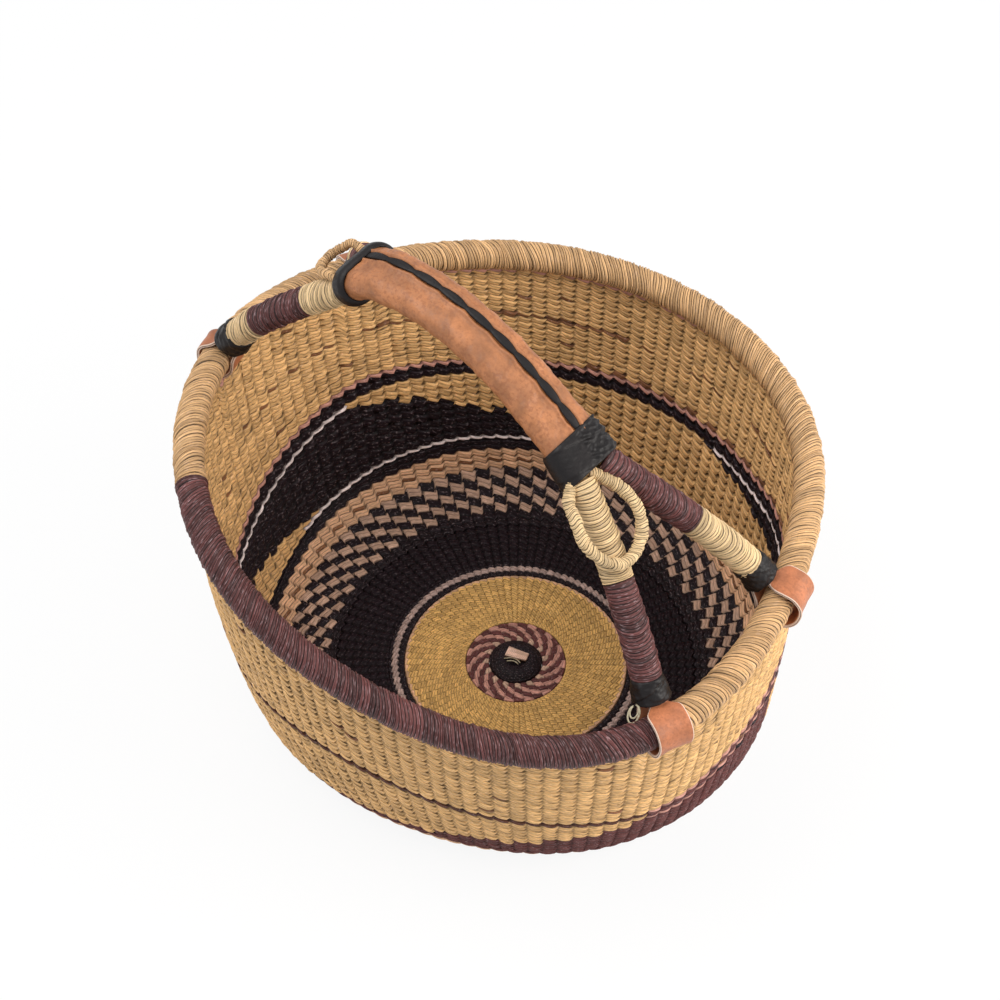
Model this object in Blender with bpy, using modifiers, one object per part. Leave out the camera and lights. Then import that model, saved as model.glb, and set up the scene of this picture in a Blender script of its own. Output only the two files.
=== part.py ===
"""Round woven straw basket with a leather-covered handle on four strapped legs.

Metres, +Z up. The origin is the middle of the underside of the base. +X runs along
the handle to its front feet and +Y is to the left. The basket is handmade, so its rim
and its base are circles with a few gentle waves, and the handle leans to the right.
"""
import math

import bpy
import bmesh
from mathutils import Matrix, Vector

# Weave and clearances
weave_wall = 0.006
piece_gap = 0.0003
seam_gap = 0.0006

# Floor: radius of the start knot, then the widths of the zones round it
knot_radius = 0.0187
swirl_width = 0.0167
disc_width = 0.0433
line_width = 0.0113
band_width = 0.0370
check_width = 0.0430

# Start knot, a low mound with an eye that holds the cut end of the first straws
knot_rise = 0.0045
knot_shoulder_share = 0.33
knot_eye_radius = 0.0075
chip_clearance = 0.0020
chip_rise = 0.0015

# Rim: a straw-wrapped roll. Waves are (waves a turn, share of the size, direction in degrees)
rim_radius = 0.2045
rim_height = 0.204
rim_middle_x = -0.011
rim_middle_y = -0.005
rim_core_radius = 0.0084
rim_core_clearance = 0.0004
rim_wrap_wall = 0.0017
rim_wave_shares = ((2, 0.018, -3), (3, 0.026, -27), (4, 0.009, -18), (5, 0.008, -25))
rim_height_wave_shares = ((1, 0.069, 181), (2, 0.049, 40), (3, 0.010, 13))
purple_rim_start_deg = 223.5
purple_rim_end_deg = 340.0

# Base outline, the turn up into the wall, and the wall's belly
base_wave_shares = ((1, 0.034, 165), (2, 0.058, 23))
base_turn_share = 0.875
wall_fullness = 1.38
wall_start_height = 0.020
turn_row_shares = (0, 0.333, 0.667)
wall_row_shares = (0, 0.06, 0.15, 0.28, 0.45, 0.65, 0.83, 1)

# Handle: its own frame stands between the four feet, leaning about +X to the right
handle_lean_deg = 10.0
handle_shift = Vector((0.0011, 0.0013, 0.0004))
grip_front_reach = 0.092
grip_front_height = 0.097
grip_rear_reach = 0.103
grip_rear_height = 0.132
grip_front_bend_shares = (0.365, 0.190)
grip_rear_bend_shares = (0.180, 0.215)
bundle_radius = 0.0080
bundle_end_radius = 0.0060
straw_wrap_clearance = 0.0006
straw_wrap_wall = 0.0017
grip_clearance = 0.0009
grip_wall = 0.0016
lace_width = 0.0065
lace_height = 0.0022
lace_side = 0.0085

# Collars of black leather round the ends of the grip
collar_wall = 0.0017
collar_clearance = 0.0009
front_collar_length = 0.025
rear_collar_length = 0.009
leg_wrap_start = 0.0034

# Legs: place on the rim, the foot's clearance to the rim roll and its direction from the
# roll's centre, and the bend as shares of the way from the grip to the foot in the
# handle's frame (along, up, sideways)
legs = {
    "front_right": {"end": 1, "side": -1, "rim_deg": -18.0, "seat_gap": 0.0079, "seat_deg": 29.4,
                    "near_shares": (0.25, 0.18, 0.14), "far_shares": (0.76, 0.50, 0.70)},
    "front_left": {"end": 1, "side": 1, "rim_deg": 16.5, "seat_gap": 0.0063, "seat_deg": 30.4,
                   "near_shares": (0.32, 0.13, 0.14), "far_shares": (0.77, 0.61, 0.79)},
    "rear_right": {"end": -1, "side": -1, "rim_deg": 199.5, "seat_gap": 0.0073, "seat_deg": 57.3,
                   "near_shares": (0.27, 0.28, 0.15), "far_shares": (0.74, 0.52, 0.87)},
    "rear_left": {"end": -1, "side": 1, "rim_deg": 165.0, "seat_gap": 0.0065, "seat_deg": 45.0,
                  "near_shares": (0.27, 0.24, 0.15), "far_shares": (0.75, 0.56, 0.84)},
}

# Straw wraps of each leg from the grip down: (colour, share of the leg where it ends)
wrap_end_shares = {
    "front_right": (("cream", 0.50), ("purple", 1.0)),
    "front_left": (("purple", 0.56), ("cream", 1.0)),
    "rear_right": (("cream", 0.355), ("purple", 0.78), ("low_cream", 1.0)),
    "rear_left": (("purple", 0.56), ("cream", 1.0)),
}

# Leather straps round the rim, with both tails bound to the leg by the end wrap
strap_width = 0.0245
strap_thickness = 0.0020
strap_clearance = 0.0008
strap_slack = 0.0030
strap_tail_width = 0.0070
strap_tail_inset = 0.0040
strap_tail_exit = 0.0014
strap_outer_flare_deg = 25.0
strap_inner_flare_deg = 20.0
end_wrap_length = 0.015
end_wrap_clearance = 0.0006
end_wrap_wall = 0.0018

# Slots in the top of the wall that the straps pass through
slot_side_clearance = 0.0015
slot_clearance = 0.0027
cut_overrun = 0.010

# Petal loops, each a cord from the collar and back, lying over a right leg.
# Points are shares of the loop's length along the leg and of its width sideways.
petal_cord_radius = 0.0041
petal_clearance = 0.0010
front_petal_length = 0.0625
front_petal_width = 0.040
front_petal_shares = ((0.05, 0.14), (0.28, 0.42), (0.56, 0.56), (0.80, 0.48), (0.95, 0.24),
                      (1.0, 0.02), (0.90, -0.24), (0.70, -0.42), (0.45, -0.46), (0.25, -0.38),
                      (0.05, -0.26))
rear_petal_length = 0.040
rear_petal_width = 0.034
rear_petal_shares = ((0.09, 0.60), (0.32, 0.92), (0.66, 0.97), (0.88, 0.74), (0.86, 0.44),
                     (0.64, 0.18), (0.36, 0.02), (0.08, -0.04))

# Fineness of the surfaces
ring_steps = 48
turned_steps = 24
tube_sides = 8
chip_sides = 10
stadium_steps = 6
grip_steps = 8
lace_steps = 20
leg_steps = 12
strap_loop_steps = 10
petal_steps = 20
curve_steps = 60
crease_deg = 40.0

# Colours: (base colour, roughness)
colours = {
    "black_straw": ((0.020, 0.013, 0.018), 0.75),
    "pink_straw": ((0.360, 0.140, 0.130), 0.75),
    "tan_straw": ((0.520, 0.330, 0.140), 0.75),
    "cream_straw": ((0.740, 0.580, 0.330), 0.75),
    "purple_straw": ((0.100, 0.040, 0.045), 0.75),
    "mauve_straw": ((0.290, 0.210, 0.210), 0.75),
    "tan_leather": ((0.560, 0.250, 0.130), 0.55),
    "black_leather": ((0.016, 0.016, 0.017), 0.45),
    "grass": ((0.420, 0.330, 0.160), 0.85),
}

# Derived sizes
swirl_radius = knot_radius + swirl_width
disc_radius = swirl_radius + disc_width
line_radius = disc_radius + line_width
band_radius = line_radius + band_width
base_radius = band_radius + check_width
narrowest_base = base_radius * (1 - sum(share for count, share, at in base_wave_shares))
base_turn = base_turn_share * (narrowest_base - band_radius)
check_rows = 1 + len(turn_row_shares)
rim_wrap_radius = rim_core_radius + rim_core_clearance + rim_wrap_wall
wall_top_drop = rim_wrap_radius + piece_gap
straw_wrap_radius = bundle_radius + straw_wrap_clearance + straw_wrap_wall
bundle_spread = straw_wrap_radius + piece_gap
cover_radius = bundle_radius + grip_clearance + grip_wall
collar_radius = max(cover_radius, straw_wrap_radius) + collar_clearance + collar_wall
strap_tail_length = end_wrap_length - strap_tail_inset
strap_tail_reach = bundle_end_radius + strap_clearance + strap_thickness
strap_tail_corner = math.hypot(strap_tail_reach, strap_tail_width / 2)
tube_flat_share = math.cos(math.pi / tube_sides)
end_wrap_radius = (strap_tail_corner + end_wrap_clearance + end_wrap_wall) / tube_flat_share
slot_width = strap_width + 2 * slot_side_clearance
slot_drop = strap_clearance + strap_slack + strap_thickness + slot_clearance
lean = math.radians(handle_lean_deg)
along_axis = Vector((1, 0, 0))
up_axis = Vector((0, -math.sin(lean), math.cos(lean)))
side_axis = Vector((0, math.cos(lean), math.sin(lean)))


def clear_scene():
    """Start from an empty file."""
    for obj in list(bpy.data.objects):
        bpy.data.objects.remove(obj, do_unlink=True)


def make_collection(name):
    """New collection linked to the scene."""
    collection = bpy.data.collections.new(name)
    bpy.context.scene.collection.children.link(collection)
    return collection


def make_materials():
    """One Principled material for each colour."""
    materials = {}
    for name, (colour, roughness) in colours.items():
        material = bpy.data.materials.new(name)
        material.use_nodes = True
        shader = material.node_tree.nodes["Principled BSDF"]
        shader.inputs["Base Color"].default_value = (*colour, 1)
        shader.inputs["Roughness"].default_value = roughness
        materials[name] = material
    return materials


clear_scene()
basket_parts = make_collection("bolga_basket")
cutters = make_collection("cutters")
material_table = make_materials()


def link(obj, material):
    """Put an object in the model with its material."""
    obj.data.materials.append(material_table[material])
    basket_parts.objects.link(obj)
    return obj


def smooth(mesh):
    """Smooth shading that keeps creases sharp."""
    mesh.shade_smooth()
    mesh.set_sharp_from_angle(angle=math.radians(crease_deg))


def mesh_object(name, points, faces, material):
    """Mesh object with its faces turned outwards."""
    mesh = bpy.data.meshes.new(name)
    mesh.from_pydata([tuple(point) for point in points], [], faces)
    work = bmesh.new()
    work.from_mesh(mesh)
    bmesh.ops.recalc_face_normals(work, faces=work.faces)
    work.to_mesh(mesh)
    work.free()
    smooth(mesh)
    return link(bpy.data.objects.new(name, mesh), material)


def loft_faces(count, size, closed):
    """Faces between sections that follow each other, round to the first again if closed."""
    faces = []
    for index in range(count if closed else count - 1):
        here, there = index * size, (index + 1) % count * size
        for step in range(size):
            after = (step + 1) % size
            faces.append((here + step, here + after, there + after, there + step))
    return faces


def looped_loft(name, sections, material):
    """Solid ring through closed sections round a full turn."""
    points = [point for section in sections for point in section]
    return mesh_object(name, points, loft_faces(len(sections), len(sections[0]), True), material)


def capped_loft(name, sections, material):
    """Solid through closed sections, with a face on each end."""
    size = len(sections[0])
    last = (len(sections) - 1) * size
    points = [point for section in sections for point in section]
    faces = loft_faces(len(sections), size, False)
    faces += [tuple(range(size)), tuple(range(last, last + size))]
    return mesh_object(name, points, faces, material)


def open_loft(name, sections, wall, material):
    """Open sleeve through closed sections, with its wall inside."""
    points = [point for section in sections for point in section]
    obj = mesh_object(name, points, loft_faces(len(sections), len(sections[0]), False), material)
    thicken(obj, wall, -1)
    return obj


def thicken(obj, wall, offset):
    """Wall on a surface: inside it with offset -1, to both sides with 0."""
    thick = obj.modifiers.new("wall", 'SOLIDIFY')
    thick.thickness = wall
    thick.offset = offset
    thick.use_even_offset = True


def tube(name, points, radii, material, closed=False, caps=True):
    """Round tube along points, with a radius at each."""
    curve = bpy.data.curves.new(name, 'CURVE')
    curve.dimensions = '3D'
    curve.twist_mode = 'Z_UP'
    curve.bevel_depth = 1
    curve.bevel_resolution = tube_sides // 2 - 2
    curve.use_fill_caps = caps and not closed
    spline = curve.splines.new('POLY')
    spline.points.add(len(points) - 1)
    for target, point, radius in zip(spline.points, points, radii):
        target.co = (*point, 1)
        target.radius = radius
    spline.use_cyclic_u = closed
    spline.use_smooth = True
    return link(bpy.data.objects.new(name, curve), material)


def sleeve(name, points, radius, wall, material):
    """Open tube with a wall, its outside at the radius."""
    obj = tube(name, points, [radius] * len(points), material, caps=False)
    thicken(obj, wall, -1)
    return obj


def turned(name, outline, material):
    """Turned solid: an outline at +X that Screw turns about Z."""
    mesh = bpy.data.meshes.new(name)
    mesh.from_pydata([(radius, 0, height) for radius, height in outline], [],
                     [(index, index + 1) for index in range(len(outline) - 1)])
    obj = link(bpy.data.objects.new(name, mesh), material)
    screw = obj.modifiers.new("turn", 'SCREW')
    screw.steps = turned_steps
    screw.render_steps = turned_steps
    screw.use_merge_vertices = True
    screw.merge_threshold = piece_gap / 10
    screw.use_smooth_shade = True
    screw.use_normal_flip = True
    return obj


def bezier(ends, share):
    """Point of a cubic curve: its two ends with two pulls between."""
    a, b, c, d = ends
    rest = 1 - share
    return a * rest ** 3 + b * 3 * share * rest ** 2 + c * 3 * share ** 2 * rest + d * share ** 3


def running_lengths(points):
    """Distance along a polyline of each of its points."""
    lengths = [0]
    for before, after in zip(points, points[1:]):
        lengths.append(lengths[-1] + (after - before).length)
    return lengths


def place_along(points, lengths, distance):
    """Point at a distance along a polyline."""
    index = 0
    while index < len(points) - 2 and distance > lengths[index + 1]:
        index += 1
    share = (distance - lengths[index]) / (lengths[index + 1] - lengths[index])
    return points[index].lerp(points[index + 1], share)


def resample(points, steps):
    """Points at even distances along a polyline."""
    lengths = running_lengths(points)
    return [place_along(points, lengths, lengths[-1] * step / steps) for step in range(steps + 1)]


def stretch(points, start, end):
    """Part of a polyline between two distances, with its own inner points."""
    lengths = running_lengths(points)
    inner = [point for point, length in zip(points, lengths)
             if start + seam_gap < length < end - seam_gap]
    return [place_along(points, lengths, start)] + inner + [place_along(points, lengths, end)]


def waved(size, wave_shares, angle):
    """Size at an angle round the basket: each wave is a share of the size."""
    waves = sum(share * math.cos(count * (angle - math.radians(at))) for count, share, at in wave_shares)
    return size * (1 + waves)


def round_trip(count):
    """Equal angles round a full turn."""
    return [2 * math.pi * step / count for step in range(count)]


def rim_point(angle):
    """Centre line of the rim roll."""
    radius = waved(rim_radius, rim_wave_shares, angle)
    return Vector((rim_middle_x + radius * math.cos(angle),
                   rim_middle_y + radius * math.sin(angle),
                   waved(rim_height, rim_height_wave_shares, angle)))


def rim_frame(angle):
    """Centre, outward and forward directions of the rim roll at an angle."""
    reach = math.pi / ring_steps
    forward = rim_point(angle + reach) - rim_point(angle - reach)
    forward.z = 0
    forward.normalize()
    outward = forward.cross(Vector((0, 0, 1)))
    return rim_point(angle), outward, forward


def base_point(angle):
    """Corner where the middle of the floor meets the middle of the wall."""
    radius = waved(base_radius, base_wave_shares, angle)
    return Vector((radius * math.cos(angle), radius * math.sin(angle), weave_wall / 2))


def wall_point(angle, share):
    """Middle of the wall at a share of its height: it leaves the floor and turns upright."""
    low, high = base_point(angle), rim_point(angle)
    spread = (1 - (1 - share) ** wall_fullness) ** (1 / wall_fullness)
    return Vector((low.x + (high.x - low.x) * spread,
                   low.y + (high.y - low.y) * spread,
                   low.z + (high.z - low.z) * share))


def height_share(angle, height):
    """Share of the wall's height at a height over the middle of the floor."""
    return height / (rim_point(angle).z - base_point(angle).z)


def floor_point(angle, radius):
    """Middle of the floor at a radius."""
    return Vector((radius * math.cos(angle), radius * math.sin(angle), weave_wall / 2))


def turn_point(angle, share):
    """Round turn from the floor up into the wall: a quadratic curve on the corner."""
    corner = base_point(angle)
    flat = math.hypot(corner.x, corner.y) - base_turn
    start = floor_point(angle, flat)
    end = wall_point(angle, height_share(angle, wall_start_height))
    return start * (1 - share) ** 2 + corner * 2 * share * (1 - share) + end * share ** 2


def weave_sides(angle, line):
    """Outer and inner point and direction of the weave at each place of its middle line."""
    outward = Vector((math.cos(angle), math.sin(angle), 0))
    sides = []
    for index, point in enumerate(line):
        before = line[max(index - 1, 0)]
        after = line[min(index + 1, len(line) - 1)]
        run = (after - before).dot(outward)
        rise = (after - before).z
        length = math.hypot(run, rise)
        along = outward * (run / length) + Vector((0, 0, rise / length))
        normal = outward * (rise / length) - Vector((0, 0, run / length))
        sides.append((point + normal * weave_wall / 2, point - normal * weave_wall / 2, along))
    return sides


def woven_section(sides, start_gap, end_gap):
    """Closed section through the sides, drawn in by a gap at its start and at its end."""
    moves = [Vector((0, 0, 0)) for side in sides]
    moves[0] = sides[0][2] * start_gap
    moves[-1] = sides[-1][2] * -end_gap
    outer = [side[0] + move for side, move in zip(sides, moves)]
    inner = [side[1] + move for side, move in zip(sides, moves)]
    return outer + inner[::-1]


def floor_ring(name, inner_radius, outer_radius, material):
    """Flat ring of the floor between two radii, short of both by half a gap."""
    sections = []
    for angle in round_trip(ring_steps):
        line = [floor_point(angle, inner_radius), floor_point(angle, outer_radius)]
        sections.append(woven_section(weave_sides(angle, line), piece_gap / 2, piece_gap / 2))
    looped_loft(name, sections, material)


def build_floor():
    """Zones of the floor from the start knot out to the black band."""
    floor_ring("swirl_ring", knot_radius, swirl_radius, "pink_straw")
    floor_ring("gold_disc", swirl_radius, disc_radius, "tan_straw")
    floor_ring("line_ring", disc_radius, line_radius, "mauve_straw")
    floor_ring("black_band", line_radius, band_radius, "black_straw")


def build_knot():
    """Start knot, a low mound with an eye, and the straw chip that shows in the eye."""
    outer = knot_radius - piece_gap / 2
    crown = weave_wall + knot_rise
    crown_radius = (outer + knot_eye_radius) / 2
    turned("start_knot", [(0, weave_wall), (knot_eye_radius, weave_wall),
                          (knot_eye_radius, crown - knot_rise * knot_shoulder_share),
                          (crown_radius, crown), (outer, weave_wall + knot_rise * knot_shoulder_share),
                          (outer, 0), (0, 0)], "black_straw")
    build_chip(weave_wall + piece_gap, crown + chip_rise)


def build_chip(low, high):
    """Cut end of the first straws, a short plug in the eye of the knot."""
    radius = knot_eye_radius - chip_clearance
    bm = bmesh.new()
    bmesh.ops.create_cone(bm, cap_ends=True, segments=chip_sides, radius1=radius, radius2=radius,
                          depth=high - low)
    mesh = bpy.data.meshes.new("knot_chip")
    bm.to_mesh(mesh)
    bm.free()
    smooth(mesh)
    chip = link(bpy.data.objects.new("knot_chip", mesh), "cream_straw")
    chip.location.z = (low + high) / 2


def meridian(angle):
    """Sides of the weave from the edge of the black band, round the turn and up to the rim."""
    start = height_share(angle, wall_start_height)
    top = 1 - height_share(angle, wall_top_drop)
    line = [floor_point(angle, band_radius)]
    line += [turn_point(angle, share) for share in turn_row_shares]
    line += [wall_point(angle, start + (top - start) * share) for share in wall_row_shares]
    return weave_sides(angle, line)


def build_check_band():
    """Check band: the floor's margin and the round turn up to the foot of the wall."""
    sections = [woven_section(meridian(angle)[:check_rows + 1], piece_gap / 2, piece_gap / 2)
                for angle in round_trip(ring_steps)]
    looped_loft("check_band", sections, "mauve_straw")


def slot_cutter(name, angle):
    """Box that opens the top of the wall for a strap."""
    centre, outward, forward = rim_frame(angle)
    bm = bmesh.new()
    bmesh.ops.create_cube(bm, size=1)
    mesh = bpy.data.meshes.new(name)
    bm.to_mesh(mesh)
    bm.free()
    middle = centre + Vector((0, 0, (cut_overrun - slot_drop) / 2 - wall_top_drop))
    turn = Matrix((outward, forward, Vector((0, 0, 1)))).transposed().to_4x4()
    size = Matrix.Diagonal((weave_wall + 2 * cut_overrun, slot_width, slot_drop + cut_overrun, 1))
    mesh.transform(Matrix.Translation(middle) @ turn @ size)
    obj = bpy.data.objects.new(name, mesh)
    obj.hide_render = True
    obj.display_type = 'WIRE'
    cutters.objects.link(obj)
    return obj


def build_wall():
    """Side wall, a loft from the oval base to the waved rim, with four strap slots."""
    sections = [woven_section(meridian(angle)[check_rows:], piece_gap / 2, 0)
                for angle in round_trip(ring_steps)]
    wall = looped_loft("side_wall", sections, "tan_straw")
    for name, leg in legs.items():
        cut = wall.modifiers.new("slot_" + name, 'BOOLEAN')
        cut.operation = 'DIFFERENCE'
        cut.solver = 'EXACT'
        cut.object = slot_cutter("slot_" + name, math.radians(leg["rim_deg"]))


def build_rim():
    """Rim core, a closed grass roll, inside a tan and a purple straw wrap."""
    ring = [rim_point(angle) for angle in round_trip(ring_steps)]
    tube("rim_core", ring, [rim_core_radius] * ring_steps, "grass", closed=True)
    start = math.radians(purple_rim_start_deg)
    end = math.radians(purple_rim_end_deg)
    half = piece_gap / rim_radius
    rim_arc("rim_wrap_purple", start + half, end - half, "purple_straw")
    rim_arc("rim_wrap_tan", end + half, start + 2 * math.pi - half, "tan_straw")


def rim_arc(name, start, end, material):
    """Straw wrap of the rim from one angle to another, on the core's own steps."""
    step = 2 * math.pi / ring_steps
    first = math.floor(start / step) + 1
    last = math.ceil(end / step) - 1
    points = [core_chord_point(start)]
    points += [rim_point(index * step) for index in range(first, last + 1)]
    points += [core_chord_point(end)]
    sleeve(name, points, rim_wrap_radius, rim_wrap_wall, material)


def core_chord_point(angle):
    """Point of the core's own polyline at an angle."""
    step = 2 * math.pi / ring_steps
    index = math.floor(angle / step)
    return rim_point(index * step).lerp(rim_point((index + 1) * step), angle / step - index)


def middle_seat(end):
    """Middle of the two places on the rim that one end of the handle is strapped to."""
    seats = [rim_point(math.radians(leg["rim_deg"])) for leg in legs.values() if leg["end"] == end]
    return sum(seats, Vector()) / len(seats)


handle_middle = (middle_seat(1) + middle_seat(-1)) / 2 + handle_shift


def handle_point(along, up, sideways):
    """World point of a place in the handle's leaning frame."""
    return handle_middle + along_axis * along + up_axis * up + side_axis * sideways


def in_handle(point):
    """Place of a world point in the handle's frame."""
    offset = point - handle_middle
    return Vector((offset.dot(along_axis), offset.dot(up_axis), offset.dot(side_axis)))


def grip_end(end):
    """End of the grip's middle line in the handle's frame: 1 is the front, -1 the rear."""
    if end > 0:
        return Vector((grip_front_reach, grip_front_height, 0))
    return Vector((-grip_rear_reach, grip_rear_height, 0))


def grip_line(share, sideways=0):
    """World point along the grip, rear to front, moved sideways."""
    rear, front = grip_end(-1), grip_end(1)
    span = front.x - rear.x
    rear_pull = rear + Vector((grip_rear_bend_shares[0], grip_rear_bend_shares[1], 0)) * span
    front_pull = front + Vector((-grip_front_bend_shares[0], grip_front_bend_shares[1], 0)) * span
    place = bezier((rear, rear_pull, front_pull, front), share)
    return handle_point(place.x, place.y, sideways)


def grip_upward(share):
    """Direction square to the grip's line, away from the basket."""
    step = 1 / curve_steps
    forward = grip_line(min(share + step, 1)) - grip_line(max(share - step, 0))
    return forward.cross(side_axis).normalized()


def grip_share_at(end, back):
    """Share of the grip's line at a distance back from one end."""
    line = [grip_line(step / curve_steps) for step in range(curve_steps + 1)]
    share = back / running_lengths(line)[-1]
    return 1 - share if end > 0 else share


def foot_point(leg):
    """World point of a leg's end, inside and over the rim roll."""
    centre, outward, forward = rim_frame(math.radians(leg["rim_deg"]))
    distance = rim_wrap_radius + leg["seat_gap"]
    turn = math.radians(leg["seat_deg"])
    return centre + (Vector((0, 0, math.sin(turn))) - outward * math.cos(turn)) * distance


def leg_path(leg):
    """Even points along a leg's middle line, grip to foot."""
    start = grip_end(leg["end"]) + Vector((0, 0, leg["side"] * bundle_spread))
    foot = in_handle(foot_point(leg))
    way = foot - start
    near = start + Vector(a * b for a, b in zip(way, leg["near_shares"]))
    far = start + Vector(a * b for a, b in zip(way, leg["far_shares"]))
    ends = [handle_point(*place) for place in (start, near, far, foot)]
    return resample([bezier(ends, step / curve_steps) for step in range(curve_steps + 1)], leg_steps)


def leg_at(end, side):
    """Leg at one end and side of the handle."""
    return next(leg for leg in legs.values() if leg["end"] == end and leg["side"] == side)


def build_bundles():
    """Two grass bundles, each up its front leg, through the grip and down its rear leg."""
    bundles = []
    for name, side in (("right_bundle", -1), ("left_bundle", 1)):
        front = thin_end(leg_path(leg_at(1, side)))[::-1]
        rear = thin_end(leg_path(leg_at(-1, side)))
        grip = [(grip_line(step / grip_steps, side * bundle_spread), bundle_radius)
                for step in range(grip_steps - 1, 0, -1)]
        points, radii = zip(*(front + grip + rear))
        bundles.append(tube(name, points, radii, "grass"))
    return bundles


def thin_end(path):
    """Points and radii of a leg whose end is thinner inside the end wrap."""
    length = running_lengths(path)[-1]
    full = stretch(path, 0, length - end_wrap_length)
    thin = stretch(path, length - end_wrap_length + straw_wrap_wall, length)
    return [(point, bundle_radius) for point in full] + [(point, bundle_end_radius) for point in thin]


def build_leg_wraps():
    """Straw wraps of the legs by colour, and the black end wraps."""
    wraps = []
    for name, leg in legs.items():
        path = leg_path(leg)
        length = running_lengths(path)[-1]
        start = leg_wrap_start
        for colour, share in wrap_end_shares[name]:
            end = share * (length - end_wrap_length)
            material = colour.split("_")[-1] + "_straw"
            wraps.append(sleeve(name + "_" + colour + "_wrap", stretch(path, start, end),
                                straw_wrap_radius, straw_wrap_wall, material))
            start = end + seam_gap
        wraps.append(sleeve(name + "_end_wrap", stretch(path, start, length), end_wrap_radius,
                            end_wrap_wall, "black_leather"))
    return wraps


def cross_line(place, across, width):
    """Three points across a strap."""
    return [place + across * share * width for share in (-0.5, 0, 0.5)]


def rim_cross_line(angle, turn):
    """Cross line of a strap at a turn round the rim roll, which it follows, slack underneath."""
    radius = rim_wrap_radius + strap_clearance + strap_thickness / 2
    slack = strap_slack * max(0, -math.sin(turn))
    line = []
    for share in (-0.5, 0, 0.5):
        centre, outward, forward = rim_frame(angle + share * strap_width / rim_radius)
        line.append(centre + outward * radius * math.cos(turn)
                    + Vector((0, 0, radius * math.sin(turn) - slack)))
    return line


def turn_at(offset, outward):
    """Turn round the rim roll of a place, from outward up."""
    return math.atan2(offset.z, offset.dot(outward))


def strap_stations(leg):
    """Cross lines of a strap: down from the leg, out round the rim roll and back up."""
    angle = math.radians(leg["rim_deg"])
    centre, outward, across = rim_frame(angle)
    path = leg_path(leg)
    foot = path[-1]
    above = stretch(path, 0, running_lengths(path)[-1] - strap_tail_length)[-1]
    axis = (above - foot).normalized()
    reach = (outward - axis * outward.dot(axis)).normalized() * (strap_tail_reach - strap_thickness / 2)
    top, low = foot + axis * strap_tail_length, foot - axis * strap_tail_exit
    first = turn_at(low + reach - centre, outward) - math.radians(strap_outer_flare_deg)
    last = turn_at(low - reach - centre, outward) + math.radians(strap_inner_flare_deg) - 2 * math.pi
    stations = [cross_line(place + reach, across, strap_tail_width) for place in (top, low)]
    stations += [rim_cross_line(angle, first + (last - first) * step / strap_loop_steps)
                 for step in range(strap_loop_steps + 1)]
    stations += [cross_line(place - reach, across, strap_tail_width) for place in (low, top)]
    return stations


def build_straps():
    """Leather straps, each a strip round the rim with both tails in the end wrap."""
    straps = []
    for name, leg in legs.items():
        stations = strap_stations(leg)
        size = len(stations[0])
        points = [point for station in stations for point in station]
        corners = [index * size + step for index in range(len(stations) - 1) for step in range(size - 1)]
        faces = [(corner, corner + 1, corner + 1 + size, corner + size) for corner in corners]
        strap = mesh_object(name + "_strap", points, faces, "tan_leather")
        thicken(strap, strap_thickness, 0)
        straps.append(strap)
    return straps


def stadium(share, radius):
    """Closed section of the grip round both bundles: two half circles and flats between."""
    centre, upward = grip_line(share), grip_upward(share)
    points = []
    for side in (1, -1):
        for step in range(stadium_steps + 1):
            turn = math.pi * step / stadium_steps - math.pi / 2
            points.append(centre + side_axis * side * (bundle_spread + radius * math.cos(turn))
                          + upward * side * radius * math.sin(turn))
    return points


def build_cover():
    """Leather cover over both bundles."""
    sections = [stadium(step / grip_steps, cover_radius) for step in range(grip_steps + 1)]
    return open_loft("grip_leather", sections, grip_wall, "tan_leather")


def build_lace():
    """Braided lace, a flat strip on top of the grip between the collars."""
    first = grip_share_at(-1, rear_collar_length + seam_gap)
    last = grip_share_at(1, front_collar_length + seam_gap)
    low, high = cover_radius + piece_gap, cover_radius + piece_gap + lace_height
    corners = ((-0.5, low), (0.5, low), (0.5, high), (-0.5, high))
    sections = []
    for step in range(lace_steps + 1):
        share = first + (last - first) * step / lace_steps
        base, upward = grip_line(share, lace_side), grip_upward(share)
        sections.append([base + side_axis * side * lace_width + upward * height
                         for side, height in corners])
    return capped_loft("grip_lace", sections, "black_leather")


def build_collar(name, end, length):
    """Black leather round the end of the grip."""
    back = grip_share_at(end, length)
    tip = 1 if end > 0 else 0
    sections = [stadium(back + (tip - back) * share, collar_radius) for share in (0, 0.5, 1)]
    return open_loft(name, sections, collar_wall, "black_leather")


def smooth_line(points):
    """Even points along a smooth curve through the given points."""
    padded = [points[0]] + points + [points[-1]]
    fine = []
    for a, b, c, d in zip(padded, padded[1:], padded[2:], padded[3:]):
        for step in range(stadium_steps):
            t = step / stadium_steps
            fine.append((b * 2 + (c - a) * t + (a * 2 - b * 5 + c * 4 - d) * t ** 2
                         + (b * 3 - a - c * 3 + d) * t ** 3) / 2)
    return resample(fine + [points[-1]], petal_steps)


def build_petal(name, end, length, width, shares):
    """Wrapped cord from the collar, out over the right leg of one end and back."""
    path = leg_path(leg_at(end, -1))
    along = (path[leg_steps // 2] - path[0]).normalized()
    sideways = (side_axis - along * side_axis.dot(along)).normalized()
    upward = along.cross(sideways) * end
    origin = path[0] + upward * (straw_wrap_radius + petal_cord_radius + petal_clearance)
    points = smooth_line([origin + along * length * reach + sideways * width * side
                          for reach, side in shares])
    return tube(name, points, [petal_cord_radius] * len(points), "cream_straw")


def build_handle():
    """All pieces of the handle."""
    return [*build_bundles(), *build_leg_wraps(), *build_straps(), build_cover(), build_lace(),
            build_collar("front_collar", 1, front_collar_length),
            build_collar("rear_collar", -1, rear_collar_length),
            build_petal("front_petal", 1, front_petal_length, front_petal_width, front_petal_shares),
            build_petal("rear_petal", -1, rear_petal_length, rear_petal_width, rear_petal_shares)]


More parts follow.
